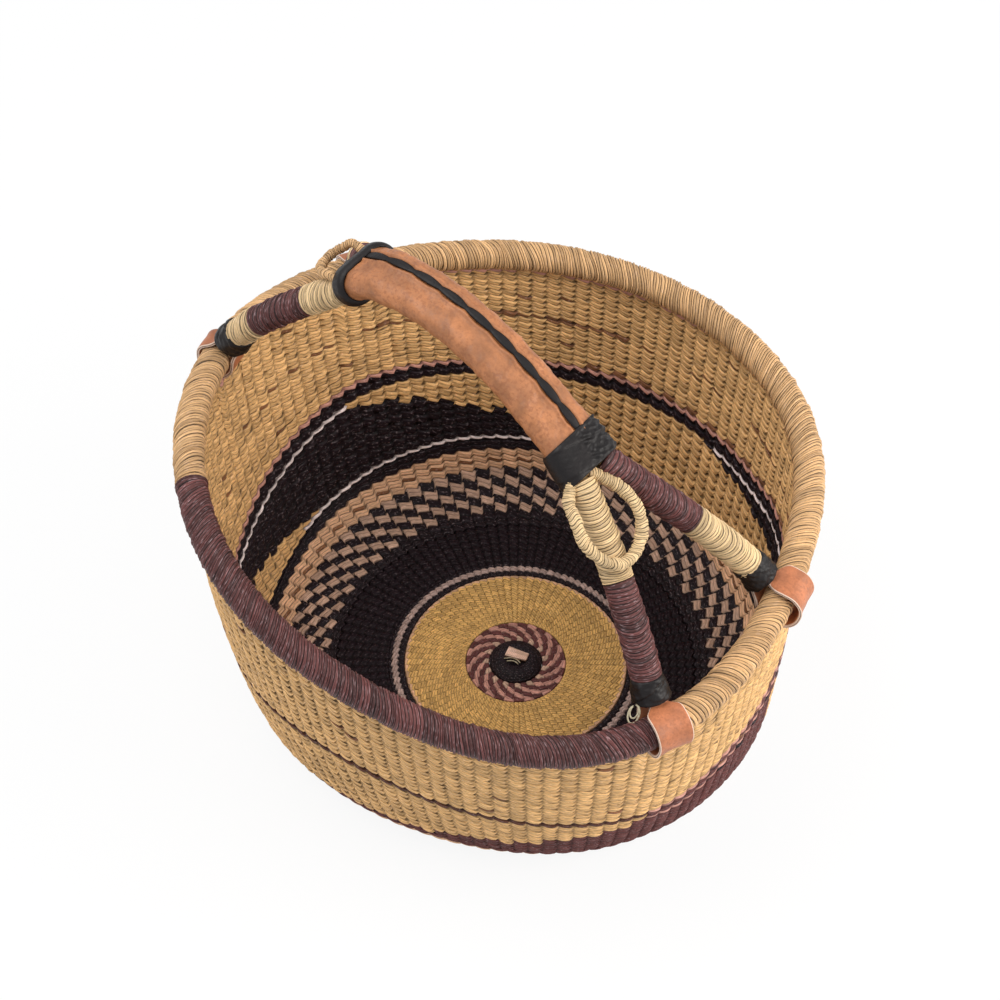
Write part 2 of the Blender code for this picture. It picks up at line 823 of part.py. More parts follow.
def hang_on_pivot(pieces):
    """Parent the handle to an empty on the line through its feet, which it rocks about."""
    pivot = bpy.data.objects.new("handle_pivot", None)
    pivot.location = (middle_seat(1) + middle_seat(-1)) / 2
    basket_parts.objects.link(pivot)
    for piece in pieces:
        piece.parent = pivot
        piece.matrix_parent_inverse = Matrix.Translation(-pivot.location)


build_knot()
build_floor()
build_check_band()
build_wall()
build_rim()
hang_on_pivot(build_handle())
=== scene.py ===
"""Looks of the round woven straw basket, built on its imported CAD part.

Every straw surface is a grid laid along the CAD's own lines: the floor zones and the wall
are rows of slanted weft strands over upright ribs, and the rim, legs and petals are rolls
wound with straw. Metres, +Z up, in the CAD's frame.
"""
import math

import bmesh
import bpy
import numpy as np
from mathutils import Matrix, Vector


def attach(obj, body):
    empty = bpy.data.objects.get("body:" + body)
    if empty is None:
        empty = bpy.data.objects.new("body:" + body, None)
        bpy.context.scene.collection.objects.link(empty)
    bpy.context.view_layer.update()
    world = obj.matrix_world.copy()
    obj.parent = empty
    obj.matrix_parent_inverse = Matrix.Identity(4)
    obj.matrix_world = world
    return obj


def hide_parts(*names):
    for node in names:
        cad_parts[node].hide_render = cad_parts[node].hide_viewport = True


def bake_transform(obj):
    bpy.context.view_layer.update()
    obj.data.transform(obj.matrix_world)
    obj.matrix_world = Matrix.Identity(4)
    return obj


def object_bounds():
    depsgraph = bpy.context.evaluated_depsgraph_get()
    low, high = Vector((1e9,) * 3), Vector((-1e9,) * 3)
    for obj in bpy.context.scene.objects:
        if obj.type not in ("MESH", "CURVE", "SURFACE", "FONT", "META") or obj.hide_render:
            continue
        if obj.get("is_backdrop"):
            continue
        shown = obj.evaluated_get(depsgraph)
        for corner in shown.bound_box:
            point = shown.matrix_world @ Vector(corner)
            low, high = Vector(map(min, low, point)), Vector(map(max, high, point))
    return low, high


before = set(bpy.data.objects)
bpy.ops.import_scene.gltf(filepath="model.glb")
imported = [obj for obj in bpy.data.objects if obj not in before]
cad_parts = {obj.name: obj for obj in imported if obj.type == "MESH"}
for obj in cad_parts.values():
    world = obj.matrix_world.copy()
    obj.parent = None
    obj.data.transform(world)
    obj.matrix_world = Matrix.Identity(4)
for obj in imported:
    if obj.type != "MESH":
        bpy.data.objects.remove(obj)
size_boxes = {"at_load": [list(corner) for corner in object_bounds()]}

# Shape of the body, as in the CAD
weave_wall = 0.006
knot_radius = 0.0187
swirl_radius = 0.0354
disc_radius = 0.0787
line_radius = 0.0900
band_radius = 0.1270
base_radius = 0.170
base_wave_shares = ((1, 0.034, 165), (2, 0.058, 23))
base_turn = 0.0239
wall_fullness = 1.38
wall_start_height = 0.020
rim_radius = 0.2045
rim_height = 0.204
rim_middle = (-0.011, -0.005)
rim_wave_shares = ((2, 0.018, -3), (3, 0.026, -27), (4, 0.009, -18), (5, 0.008, -25))
rim_height_wave_shares = ((1, 0.069, 181), (2, 0.049, 40), (3, 0.010, 13))
rim_roll_radius = 0.0105
wall_top_drop = 0.0108
purple_rim_start_deg = 232.5
purple_rim_end_deg = 340.0
slot_drop = 0.0085
slot_half_deg = 4.3
knot_rise = 0.0045
knot_eye_radius = 0.0060
chip_size = (0.0155, 0.0082, 0.0018)

# Rings of the weave where its colours change: (degrees round the basket, millimetres from
# the middle of the floor along the weave), read from the photo
checks_start = ((0, 133), (49, 137), (86, 139), (110, 140), (130, 141), (147, 140), (166, 138), (180, 134.5),
                (205, 133), (240, 131), (320, 131))
checks_end = ((0, 163), (49, 167), (64, 170), (86, 172), (110, 173), (131, 178.8), (147, 179), (166, 175.8),
              (181, 172), (195, 165.7), (205, 163.8), (240, 161), (320, 161))
thin_start = ((0, 178), (40, 182), (60, 186), (90, 188), (110, 190), (131, 194.5), (147, 197), (166, 193),
              (181, 188.4), (195, 181), (205, 178), (240, 174), (320, 176))
thin_end = ((0, 186), (40, 190), (60, 193), (90, 196), (110, 199), (131, 203.5), (147, 208), (166, 206),
            (181, 198.4), (195, 190), (205, 186), (240, 182), (320, 184))
upper_start = ((0, 218), (10, 229), (30, 249), (57, 265), (70, 258), (90, 257.5), (105, 258), (120, 259),
               (143, 266.3), (155, 273), (167, 275.5), (175, 270.5), (181, 265), (195, 251), (205, 244),
               (213, 241), (230, 245), (255, 248), (265, 251), (280, 250), (290, 245), (300, 240), (320, 238.5),
               (330, 236), (340, 227), (345, 215), (350, 207), (355, 209))
upper_end = ((0, 229.7), (10, 241), (30, 261), (57, 277), (70, 269), (90, 267.5), (105, 269), (120, 270),
             (143, 276.3), (155, 284), (167, 288), (175, 283), (181, 277.5), (195, 265), (205, 254), (213, 249),
             (230, 249), (255, 251.5), (265, 255), (280, 253), (290, 248.5), (300, 243.5), (320, 242),
             (330, 239), (340, 231), (350, 219), (355, 221))
lifted_row = ((0, 245), (30, 262), (57, 277), (330, 239), (338, 233), (346, 231), (352, 233))
dash_row = ((50, 300), (60, 303), (66, 308), (72, 308), (79, 306), (91, 305), (106, 306), (123, 312),
            (140, 322), (152, 328), (169, 334), (176, 334), (182, 334), (188, 333), (192, 318), (200, 314))
rear_crescent_low = ((125, 200), (145, 211), (166, 208.5), (181, 201), (195, 204), (205, 208.5), (213, 213),
                     (225, 228), (236, 250))
rear_crescent_high = ((125, 205), (131, 227), (137, 230.7), (145, 240.5), (150, 248), (160, 258), (170, 269),
                      (176, 290), (236, 290))
front_crescent_low = ((285, 186), (360, 200), (385, 222), (417, 243.5), (430, 246), (440, 253), (452, 260))
front_crescent_high = ((285, 180), (296, 186), (305, 197), (314, 201), (323, 211), (332, 218), (339, 222),
                       (346, 290), (452, 290))

# Weave: counts of strands between those rings, and of ribs round the basket
swirl_strands = 8
disc_strands = 20
line_strands = 5
band_strands = 13
margin_strands = 4
check_strands = 10
rose_strands = 6
thin_strands = 4
middle_strands = 17
upper_strands = 3
low_top_strands = 4
top_strands = 30
line_strand_height = 0.0019
pink_strand_height = 0.0032
swirl_ribs = 30
disc_ribs = 84
band_ribs = 100
wall_ribs = 120
rib_columns = (0.0, 0.14, 0.38, 0.62, 0.86)
wide_rib_columns = (0.0, 0.06, 0.14, 0.26, 0.38, 0.5, 0.62, 0.74, 0.86, 0.94)
strand_rows = (0.0, 0.3, 0.7)
strand_slant = 1.0
calm_share = 0.35
kernel_lean = 0.32
rib_relief = 0.0012
kernel_relief = 0.0011
strand_relief = 0.0004

# Handle, as in the CAD
handle_lean = math.radians(10.0)
handle_shift = Vector((0.0011, 0.0013, 0.0004))
grip_front = Vector((0.092, 0.097, 0))
grip_rear = Vector((-0.103, 0.132, 0))
grip_front_bend_shares = (0.365, 0.190)
grip_rear_bend_shares = (0.180, 0.215)
bundle_spread = 0.0106
straw_roll_radius = 0.0103
cover_radius = 0.0105
cover_wall = 0.0016
lace_side = 0.0058
collar_radius = 0.0131
collar_wall = 0.0017
front_collar_length = 0.025
rear_collar_length = 0.009
leg_wrap_start = 0.0003
end_wrap_length = 0.015
end_wrap_radius = 0.0128
legs = {
    "front_right": {"end": 1, "side": -1, "rim_deg": -18.0, "seat_gap": 0.0079, "seat_deg": 29.4,
                    "near_shares": (0.25, 0.18, 0.14), "far_shares": (0.76, 0.50, 0.70)},
    "front_left": {"end": 1, "side": 1, "rim_deg": 16.5, "seat_gap": 0.0063, "seat_deg": 30.4,
                   "near_shares": (0.32, 0.13, 0.14), "far_shares": (0.77, 0.61, 0.79)},
    "rear_right": {"end": -1, "side": -1, "rim_deg": 199.5, "seat_gap": 0.0073, "seat_deg": 57.3,
                   "near_shares": (0.27, 0.28, 0.15), "far_shares": (0.74, 0.52, 0.87)},
    "rear_left": {"end": -1, "side": 1, "rim_deg": 165.0, "seat_gap": 0.0065, "seat_deg": 45.0,
                  "near_shares": (0.27, 0.24, 0.15), "far_shares": (0.75, 0.56, 0.84)},
}
wrap_end_shares = {
    "front_right": (("cream", 0.50), ("purple", 1.0)),
    "front_left": (("purple", 0.56), ("cream", 1.0)),
    "rear_right": (("cream", 0.355), ("purple", 0.78), ("low_cream", 1.0)),
    "rear_left": (("purple", 0.56), ("cream", 1.0)),
}
strap_width = 0.0245
strap_thickness = 0.0020
strap_clearance = 0.0008
strap_slack = 0.0030
rear_strap_width = 0.0170
strap_tail_width = 0.0125
strap_tail_length = 0.011
strap_tail_reach = 0.0088
strap_tail_exit = 0.0014
strap_outer_flare = math.radians(25.0)
strap_inner_flare = math.radians(20.0)
strap_bulges = {"front_right": 0.0012, "front_left": 0.0036, "rear_right": 0.0008, "rear_left": 0.0008}
petal_radius = 0.0041
petal_clearance = 0.0010
front_petal_size = (0.0625, 0.040)
front_petal_shares = ((-0.11, 0.10), (0.03, 0.31), (0.20, 0.495), (0.42, 0.59), (0.64, 0.54), (0.79, 0.38),
                      (0.88, 0.17), (0.89, -0.03), (0.82, -0.225), (0.67, -0.39), (0.51, -0.46), (0.34, -0.45),
                      (0.17, -0.395), (0.05, -0.25), (-0.06, -0.08))
front_petal_radius = 0.0040
petal_tuck = 0.0100
rear_petal_radius = 0.0031
rear_petal_size = (0.040, 0.034)
rear_petal_shares = ((-0.20, 0.66), (-0.10, 0.73), (0.23, 0.915), (0.475, 0.92), (0.655, 0.82), (0.71, 0.59),
                     (0.65, 0.34), (0.41, 0.035), (0.13, -0.125), (-0.07, -0.18), (-0.20, -0.18))

# Straw wound round the rolls: width and relief of a turn, and how far a turn leans
wind_pitch = 0.0021
wind_relief = 0.0010
wind_wobble = 0.0008
wind_columns = 4
roll_sides = 20
rim_lean_share = 0.55
leg_lean_share = 0.38

# The grip bows to the left and up between its ends and is slimmer there, read from the photo
grip_bow = (0.0075, 0.0035)
grip_bow_skew = 1.4
grip_slim_share = 0.13

# Lace: lobes of a flat braid that swell and narrow along the seam
lace_lobes = 9
lace_narrow = 0.0034
lace_wide = 0.0059
lace_height = 0.0022

# Dyes of the straw: base colours in the order of their places on the ramp
dyes = {
    "black": (0.0095, 0.0035, 0.0065),
    "gold": (0.700, 0.420, 0.135),
    "tan": (0.720, 0.430, 0.180),
    "rim": (0.680, 0.410, 0.195),
    "cream": (0.760, 0.540, 0.290),
    "white": (0.820, 0.700, 0.680),
    "rose": (0.740, 0.440, 0.260),
    "beige": (0.530, 0.345, 0.250),
    "brown": (0.230, 0.100, 0.045),
    "umber": (0.090, 0.028, 0.013),
    "pink": (0.560, 0.280, 0.220),
    "maroon": (0.120, 0.037, 0.034),
    "mauve": (0.460, 0.330, 0.290),
    "plum": (0.170, 0.060, 0.052),
}
dye_names = list(dyes)

along_axis = Vector((1, 0, 0))
up_axis = Vector((0, -math.sin(handle_lean), math.cos(handle_lean)))
side_axis = Vector((0, math.cos(handle_lean), math.sin(handle_lean)))
random = np.random.default_rng(7)


def waved(size, wave_shares, angle):
    """Size at angles round the basket: each wave is a share of the size."""
    return size * (1 + sum(share * np.cos(count * (angle - np.radians(at))) for count, share, at in wave_shares))


def rim_points(angle):
    """Centre line of the rim roll: a waved circle whose height has waves too."""
    radius = waved(rim_radius, rim_wave_shares, angle)
    return np.stack([rim_middle[0] + radius * np.cos(angle), rim_middle[1] + radius * np.sin(angle),
                     waved(rim_height, rim_height_wave_shares, angle)], -1)


def floor_points(angle, radius):
    """Middle of the floor at a radius."""
    return np.stack([radius * np.cos(angle), radius * np.sin(angle), np.full_like(radius, weave_wall / 2)], -1)


def base_points(angle):
    """Corner where the middle of the floor meets the middle of the wall."""
    return floor_points(angle, waved(base_radius, base_wave_shares, angle))


def wall_points(angle, share):
    """Middle of the wall: from the base out along a superellipse quarter and up to the rim."""
    low, high = base_points(angle), rim_points(angle)
    spread = (1 - (1 - share) ** wall_fullness) ** (1 / wall_fullness)
    return low + (high - low) * np.stack([spread, spread, share], -1)


def meridians(angle):
    """Middle line of the weave at each angle, floor centre to rim: points, distances, normals.

    The floor is flat, a quadratic curve on the base's corner turns it up, and the wall
    follows. The normal is square to the line in the upright plane through the angle.
    """
    angle = angle[:, None]
    height = rim_points(angle)[..., 2] - base_points(angle)[..., 2]
    corner = base_points(angle)
    flat = np.hypot(corner[..., 0], corner[..., 1]) - base_turn
    start, end = floor_points(angle, flat), wall_points(angle, wall_start_height / height)
    turn = np.linspace(0, 1, 30)[None, :, None]
    curve = start * (1 - turn) ** 2 + corner * 2 * turn * (1 - turn) + end * turn ** 2
    rise = np.linspace(0, 1, 120)[None, 1:]
    share = wall_start_height / height + (1 - (wall_start_height + wall_top_drop) / height) * rise
    wall = wall_points(np.broadcast_to(angle, share.shape), share)
    spokes = floor_points(angle, flat * np.linspace(0, 1, 4)[None, :-1])
    line = np.concatenate([spokes, curve, wall], 1)
    steps = np.linalg.norm(np.diff(line, axis=1), axis=-1)
    distance = np.concatenate([np.zeros_like(angle), np.cumsum(steps, 1)], 1)
    outward = np.stack([np.cos(angle), np.sin(angle), np.zeros_like(angle)], -1)
    along = np.gradient(line, axis=1)
    run = (along * outward).sum(-1)
    normal = outward * along[..., 2:] - np.array([0, 0, 1.0]) * run[..., None]
    normal /= np.linalg.norm(normal, axis=-1, keepdims=True)
    return line, distance, normal


def ring_at(ring, degrees):
    """Distance of a colour ring at angles in degrees: straight between its places, then
    smoothed over a few degrees."""
    at, far = np.array(ring, float).T
    parts = [np.interp(degrees + shift, at, far, period=360) for shift in (-4, -2, 0, 2, 4)]
    return sum(parts) / len(parts) / 1000


def arc_at(ring, degrees):
    """Distance of a crescent's edge at angles in degrees, and nothing outside its own arc."""
    at, far = np.array(ring, float).T
    turned = np.where(degrees < at[0], degrees + 360, degrees)
    return np.interp(turned, at, far, left=np.nan, right=np.nan) / 1000


def slot_cut(degrees):
    """How far the top of the wall is cut down for the strap slots."""
    cut = np.zeros_like(degrees)
    for leg in legs.values():
        off = (degrees - leg["rim_deg"] + 180) % 360 - 180
        cut = cut + slot_drop * np.exp(-(off / slot_half_deg) ** 8)
    return cut


def row_guides(degrees, top):
    """Places of the rows that guide all others, from the knot to the rim, one row each."""
    flat = np.ones_like(degrees)
    lifted = ring_at(lifted_row, degrees)
    upper = ring_at(upper_end, degrees)
    lift = np.where((degrees > 330) | (degrees < 57), np.maximum(lifted - upper, 0), 0)
    upper = upper + lift
    band = np.minimum(ring_at(upper_start, degrees) + lift, upper - 0.008)
    thin = ring_at(thin_end, degrees)
    pink = upper + pink_strand_height
    low_top = pink + (top - pink) * low_top_strands / (low_top_strands + top_strands)
    return np.stack([knot_radius * flat, swirl_radius * flat, disc_radius * flat, line_radius * flat,
                     band_radius * flat, ring_at(checks_start, degrees), ring_at(checks_end, degrees),
                     ring_at(thin_start, degrees), thin - line_strand_height, thin + line_strand_height,
                     band - line_strand_height, band, upper, pink, low_top, top], -1)


guide_strands = np.cumsum([0, swirl_strands, disc_strands, line_strands, band_strands, margin_strands,
                           check_strands, rose_strands, thin_strands, 2, middle_strands, 1, upper_strands,
                           1, low_top_strands, top_strands])
(at_knot, at_swirl, at_disc, at_line, at_band, at_checks, at_rose, at_thin, at_wall, at_middle,
 at_white, at_upper, at_pink, at_low_top, at_top, at_rim) = [int(place) for place in guide_strands]


def strand_places(degrees, strand, top):
    """Distance from the floor's centre of each strand coordinate at each angle."""
    guides = row_guides(degrees, top)
    return np.stack([np.interp(row, guide_strands, guide) for row, guide in zip(strand, guides)])


def crest(share):
    """Height of a rounded bump across its width, 0 at both sides and 1 in the middle."""
    return 1 - np.abs(2 * share - 1) ** 2.4


def make_mesh(name, points, closed_along=True):
    """Mesh of a grid of points (around, along), closed around, with its faces outwards.

    The sum of the tetrahedra between the quads and the origin tells which way they face.
    """
    around, along = points.shape[:2]
    a = np.arange(around * along).reshape(around, along)
    b = np.roll(a, -1, 0)
    c, d = np.roll(b, -1, 1), np.roll(a, -1, 1)
    if not closed_along:
        a, b, c, d = a[:, :-1], b[:, :-1], c[:, :-1], d[:, :-1]
    flat = points.reshape(-1, 3)
    p, q, r, s = (flat[side.reshape(-1)] for side in (a, b, c, d))
    volume = (p * np.cross(q, r)).sum() + (p * np.cross(r, s)).sum()
    turned = bool(volume < 0)
    quads = np.stack([a, d, c, b] if turned else [a, b, c, d], -1).reshape(-1, 4)
    mesh = bpy.data.meshes.new(name)
    mesh.vertices.add(around * along)
    mesh.vertices.foreach_set("co", points.reshape(-1).astype(np.float32))
    mesh.loops.add(quads.size)
    mesh.loops.foreach_set("vertex_index", quads.reshape(-1).astype(np.int32))
    mesh.polygons.add(len(quads))
    mesh.polygons.foreach_set("loop_start", np.arange(0, quads.size, 4, dtype=np.int32))
    mesh.polygons.foreach_set("use_smooth", np.ones(len(quads), dtype=bool))
    mesh.update(calc_edges=True)
    return mesh, turned


def write_value(mesh, name, per_face):
    """Number for each face, kept on its corners."""
    layer = mesh.attributes.new(name, 'FLOAT', 'CORNER')
    layer.data.foreach_set("value", np.repeat(per_face.reshape(-1), 4).astype(np.float32))


def write_lay(mesh, across, along, turned):
    """UV map of straw: across and along the strands, at the corners of each face.

    Both are arrays of (low, high) for each face, in the order of the grid.
    """
    low_u, high_u = (side.reshape(-1) for side in across)
    low_v, high_v = (side.reshape(-1) for side in along)
    corners = [(low_u, low_v), (low_u, high_v), (high_u, high_v), (high_u, low_v)] if turned else \
        [(low_u, low_v), (high_u, low_v), (high_u, high_v), (low_u, high_v)]
    uv = np.stack([np.stack(corner, -1) for corner in corners], 1)
    layer = mesh.uv_layers.new(name="straw")
    layer.data.foreach_set("uv", uv.reshape(-1).astype(np.float32))


def weld_poles(mesh):
    """Merge points that lie on each other, as at the ends of a roll."""
    work = bmesh.new()
    work.from_mesh(mesh)
    bmesh.ops.remove_doubles(work, verts=work.verts, dist=1e-6)
    work.to_mesh(mesh)
    work.free()


def add_piece(name, mesh, material, body, slot, *nodes):
    """Object of a mesh in the scene, riding a CAD body and standing for CAD nodes."""
    mesh.materials.append(material)
    piece = bpy.data.objects.new(name, mesh)
    bpy.context.scene.collection.objects.link(piece)
    if body:
        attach(piece, body)
    if nodes:
        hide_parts(*nodes)
    return piece


def capped(points, round_share=0.55):
    """Grid with a smaller ring and a point added inside both of its ends."""
    first, last = points[:, 0], points[:, -1]
    start, end = first.mean(0), last.mean(0)
    rows = [np.broadcast_to(start, first.shape), start + (first - start) * round_share]
    ends = [end + (last - end) * round_share, np.broadcast_to(end, last.shape)]
    return np.concatenate([np.stack(rows, 1), points, np.stack(ends, 1)], 1)


def dye_places(names):
    """Place on the ramp of each dye number."""
    return (names + 0.5) / len(dye_names)


def dye(name):
    """Number of a dye."""
    return dye_names.index(name)


def lean_of(rows):
    """Where a row lies in its kernel of two strands, -0.5 to 0.5."""
    return rows / 2 - np.floor(rows / 2 + 1e-6) - 0.5


def floor_dye(strand, rib, degrees, place, outside):
    """Dye of each strand on each rib, floor to thin black band."""
    pick = np.full(strand.shape, dye("black"))
    swirl = strand < at_swirl
    dash = (rib + strand // 2) % 2
    pale = np.where(strand < at_knot + 2, dye("beige"), dye("pink"))
    pick = np.where(swirl, np.where(dash == 0, pale, dye("maroon")), pick)
    gold = (strand >= at_swirl) & (strand < at_disc)
    pick = np.where(gold, dye("gold"), pick)
    pick = np.where(strand == at_disc - 1, dye("rose"), pick)
    twist = (strand == at_disc + 2) | (strand == at_disc + 3)
    pick = np.where(twist, dye("mauve"), pick)
    checks = (strand >= at_checks) & (strand < at_rose)
    pale = (rib + (strand - at_checks) // 2 + outside) % 2 == 0
    pick = np.where(checks & pale, dye("beige"), pick)
    rose = (strand >= at_rose) & (strand < at_thin)
    spot = (strand == at_rose + 2) & (rib % 2 == 0)
    pick = np.where(rose, np.where(spot, dye("brown"), dye("rose")), pick)
    thin = strand >= at_thin
    return np.where(thin & (outside == 1), dye("maroon"), pick)


def wall_dye(strand, rib, degrees, place, outside):
    """Dye of each strand on each rib of the wall, from its distance to the colour rings.

    Every second rib takes the edge of a dark field one strand further, like teeth.
    """
    upper_low, upper_high = ring_at(upper_start, degrees), ring_at(upper_end, degrees)
    tooth = 0.0017 * (2 * (rib % 2) - 1)
    pick = np.full(strand.shape, dye("tan"))
    dark = np.zeros(strand.shape, bool)
    for low, high in ((rear_crescent_low, rear_crescent_high), (front_crescent_low, front_crescent_high)):
        lower = arc_at(low, degrees) + np.where((degrees > 192) & (degrees < 300), tooth, -0.001)
        if outside and low is front_crescent_low:
            lower = np.where((degrees > 285) | (degrees < 25), 0, lower)
        dark |= (place > lower) & (place < arc_at(high, degrees) + tooth)
    dark &= (place < upper_low) | ((outside == 1) & (strand < at_white))
    pick = np.where(dark, dye("maroon") if outside else dye("black"), pick)
    thin_dye = dye("maroon") if outside else dye("black")
    pick = np.where(strand == at_wall, thin_dye, pick)
    pick = np.where((strand == at_wall + 1) & (degrees > 122) & (degrees < 190), dye("white"), pick)
    outer_arc = (degrees >= 216) & (degrees <= 341)
    white_arc = ((degrees > 172) & (degrees < 216)) | (degrees < 85) | (degrees > 341)
    pick = np.where((strand == at_white) & white_arc, dye("pink") if outside else dye("white"), pick)
    under_line = (strand < at_white) & (strand >= at_white - 2) & (degrees < 85) & (rib % 2 == 0)
    pick = np.where(under_line, dye("black"), pick)
    band = (strand > at_white) & (strand < at_upper + upper_strands)
    band_dye = dye("maroon") if outside else dye("black")
    pick = np.where(band, np.where(outer_arc, dye("tan"), band_dye), pick)
    over_band = strand == at_upper + upper_strands
    line_dye = dye("umber") if outside else dye("pink")
    pick = np.where(over_band, np.where(outer_arc, line_dye, dye("pink")), pick)
    pick = np.where((strand == at_upper + upper_strands - 1) & outer_arc & (outside == 1), dye("umber"), pick)
    spot = (place >= upper_high + 0.0036) & (place < upper_high + 0.0072) & (degrees < 120) & (rib % 2 == 0)
    pick = np.where(spot, dye("brown"), pick)
    dash = np.abs(place - ring_at(dash_row, degrees)) < 0.0018
    chance = random.random(strand.shape)
    inner_dash = dash & (chance < 0.6) & (degrees > 50) & (degrees < 200)
    pick = np.where(inner_dash & (pick == dye("tan")), dye("brown"), pick)
    pick = np.where((strand == at_rim - 1) & (chance < 0.7), dye("pink"), pick)
    fleck = (chance < 0.006) & (pick == dye("tan")) & (place > upper_high + 0.01)
    return np.where(fleck, dye("brown"), pick)


def pick_once(picked, strands):
    """Same dye on all faces of one strand on one rib: that of its first face."""
    first_face = np.concatenate([[True], strands[0][1:] != strands[0][:-1]])
    start = np.maximum.accumulate(np.where(first_face, np.arange(len(first_face)), 0))
    return picked[:, start]


def weave(name, ribs, first, last, skins, choose_dye, slot, *nodes, columns=rib_columns,
          slant=strand_slant, lean=kernel_lean, relief_share=1.0, material=None, joined=(False, False)):
    """Closed piece of weave between two strand coordinates.

    Each skin is a grid with a few columns on every rib and three rows on every strand. A
    strand climbs across its rib, and two strands make a kernel: a rounded bump that leans
    sideways round the basket as it rises. The second skin runs back down, so that the two
    close round the section. A core skin lies in the middle of the weave and closes a piece
    that shows one side only. The climb fades at an end, unless the weave is joined there to
    a piece with the same ribs.
    """
    columns = np.array(columns)
    angle = ((np.arange(ribs)[:, None] + columns) / ribs).reshape(-1) * 2 * math.pi
    across = np.tile(columns, ribs)
    rib_of = np.repeat(np.arange(ribs), len(columns))
    degrees = np.degrees(angle) % 360
    line, distance, normal = meridians(angle)
    top = distance[:, -1] - slot_cut(degrees)
    climb = np.where(across == 0, 0, (across - 0.5) / 0.36 * 0.5) * slant
    calm_rows = ((at_wall + 1.5, 1.5), (at_white + 0.5, 1.6))
    row_tone = random.random(last - first + 1)
    grids, values, runs = [], [], []
    for number, skin in enumerate(skins):
        side = {"inside": -1, "outside": 1, "core": 0}[skin]
        rows = np.append((np.arange(first, last)[:, None] + np.array(strand_rows)).reshape(-1), last)
        if skin == "core":
            rows = np.linspace(first, last, max(3, (last - first) // 3))
        from_first, from_last = rows - first + 2 * joined[0], last - rows + 2 * joined[1]
        ends = np.clip(np.minimum(from_first, from_last) / 1.2, 0, 1)[None, :]
        for row, reach in calm_rows:
            ends = ends * (1 - calm_share * np.exp(-((rows - row) / reach) ** 4))[None, :]
        strand = rows[None, :] - climb[:, None] * side * ends
        place = strand_places(degrees, strand, top)
        cells = random.random((ribs, last - first + 1))
        kernels = random.random((ribs, last // 2 + 1))
        kernel_of = np.clip(np.floor(rows / 2 + 1e-6).astype(int), 0, last // 2)
        in_strand, in_kernel = rows - np.floor(rows + 1e-6), lean_of(rows) + 0.5
        height = rib_relief * (crest(across)[:, None] - 1) + kernel_relief * (crest(in_kernel)[None, :] - 0.7) \
            + strand_relief * crest(in_strand)[None, :] \
            + 0.0006 * (kernels[rib_of][:, kernel_of] - 0.5) * (in_kernel > 0.1)[None, :]
        level = (weave_wall / 2 + height * relief_share) * side
        spots, turns = (np.stack([np.stack([np.interp(far, d, p[:, k]) for far, d, p in zip(place, distance, part)])
                                  for k in range(3)], -1) for part in (line, normal))
        grid = spots + turns * level[..., None]
        swing = lean * lean_of(rows) * ends[0] * side * 2 * math.pi / ribs
        cos_s, sin_s = np.cos(swing)[None, :], np.sin(swing)[None, :]
        grid = np.stack([grid[..., 0] * cos_s - grid[..., 1] * sin_s,
                         grid[..., 0] * sin_s + grid[..., 1] * cos_s, np.maximum(grid[..., 2], 0.0002)], -1)
        face_strand = np.floor((rows[:-1] + rows[1:]) / 2).astype(int)
        middle = strand_places(degrees, np.broadcast_to(face_strand + 0.5, (len(angle), len(face_strand))), top)
        centre = middle.reshape(ribs, len(columns), -1).mean(1)
        strands, rib_grid = np.meshgrid(face_strand, np.arange(ribs))
        around = np.broadcast_to(((np.arange(ribs) + 0.5) / ribs * 360)[:, None], centre.shape)
        picked = pick_once(choose_dye(strands, rib_grid, around, centre, int(side > 0)), strands)
        cell = np.clip(face_strand - first, 0, last - first)
        tones = 0.5 * kernels[:, face_strand // 2] + 0.25 * cells[:, cell] + 0.25 * row_tone[cell][None, :]
        value = np.stack([picked.astype(float), tones])
        run = np.stack([rows[:-1] + 0 * centre, rows[1:] + 0 * centre])
        if number == 1:
            grid, value, run = grid[:, ::-1], value[:, :, ::-1], run[::-1, :, ::-1]
        grids.append(grid)
        values.append(np.concatenate([value, value[:, :, -1:]], 2))
        runs.append(np.concatenate([run, run[:, :, -1:]], 2))
    mesh, turned = make_mesh(name, np.concatenate(grids, 1))
    spread = lambda part: np.repeat(part, len(columns), 0)
    value, run = np.concatenate(values, 2), np.concatenate(runs, 2)
    write_value(mesh, "dye", dye_places(spread(value[0])))
    write_value(mesh, "tone", spread(value[1]))
    next_across = np.tile(np.append(columns[1:], 1.0), ribs)
    flat = 0 * spread(value[0])
    write_lay(mesh, ((rib_of + across)[:, None] + flat, (rib_of + next_across)[:, None] + flat),
              (spread(run[0]), spread(run[1])), turned)
    return add_piece(name, mesh, material or woven_straw, "basket", slot, *nodes)


def run_lengths(path):
    """Distance along a path at each of its points."""
    return np.concatenate([[0], np.cumsum(np.linalg.norm(np.diff(path, axis=0), axis=1))])


def point_at(path, lengths, at):
    """Points of a path at distances along it, for an array of any shape."""
    return np.stack([np.interp(at, lengths, path[:, k]) for k in range(3)], -1)


def spaced(path, count):
    """Path at even distances."""
    lengths = run_lengths(path)
    return point_at(path, lengths, np.linspace(0, lengths[-1], count))


def stretch(path, start, end):
    """Part of a path between two distances."""
    return point_at(path, run_lengths(path), np.linspace(start, end, 60))


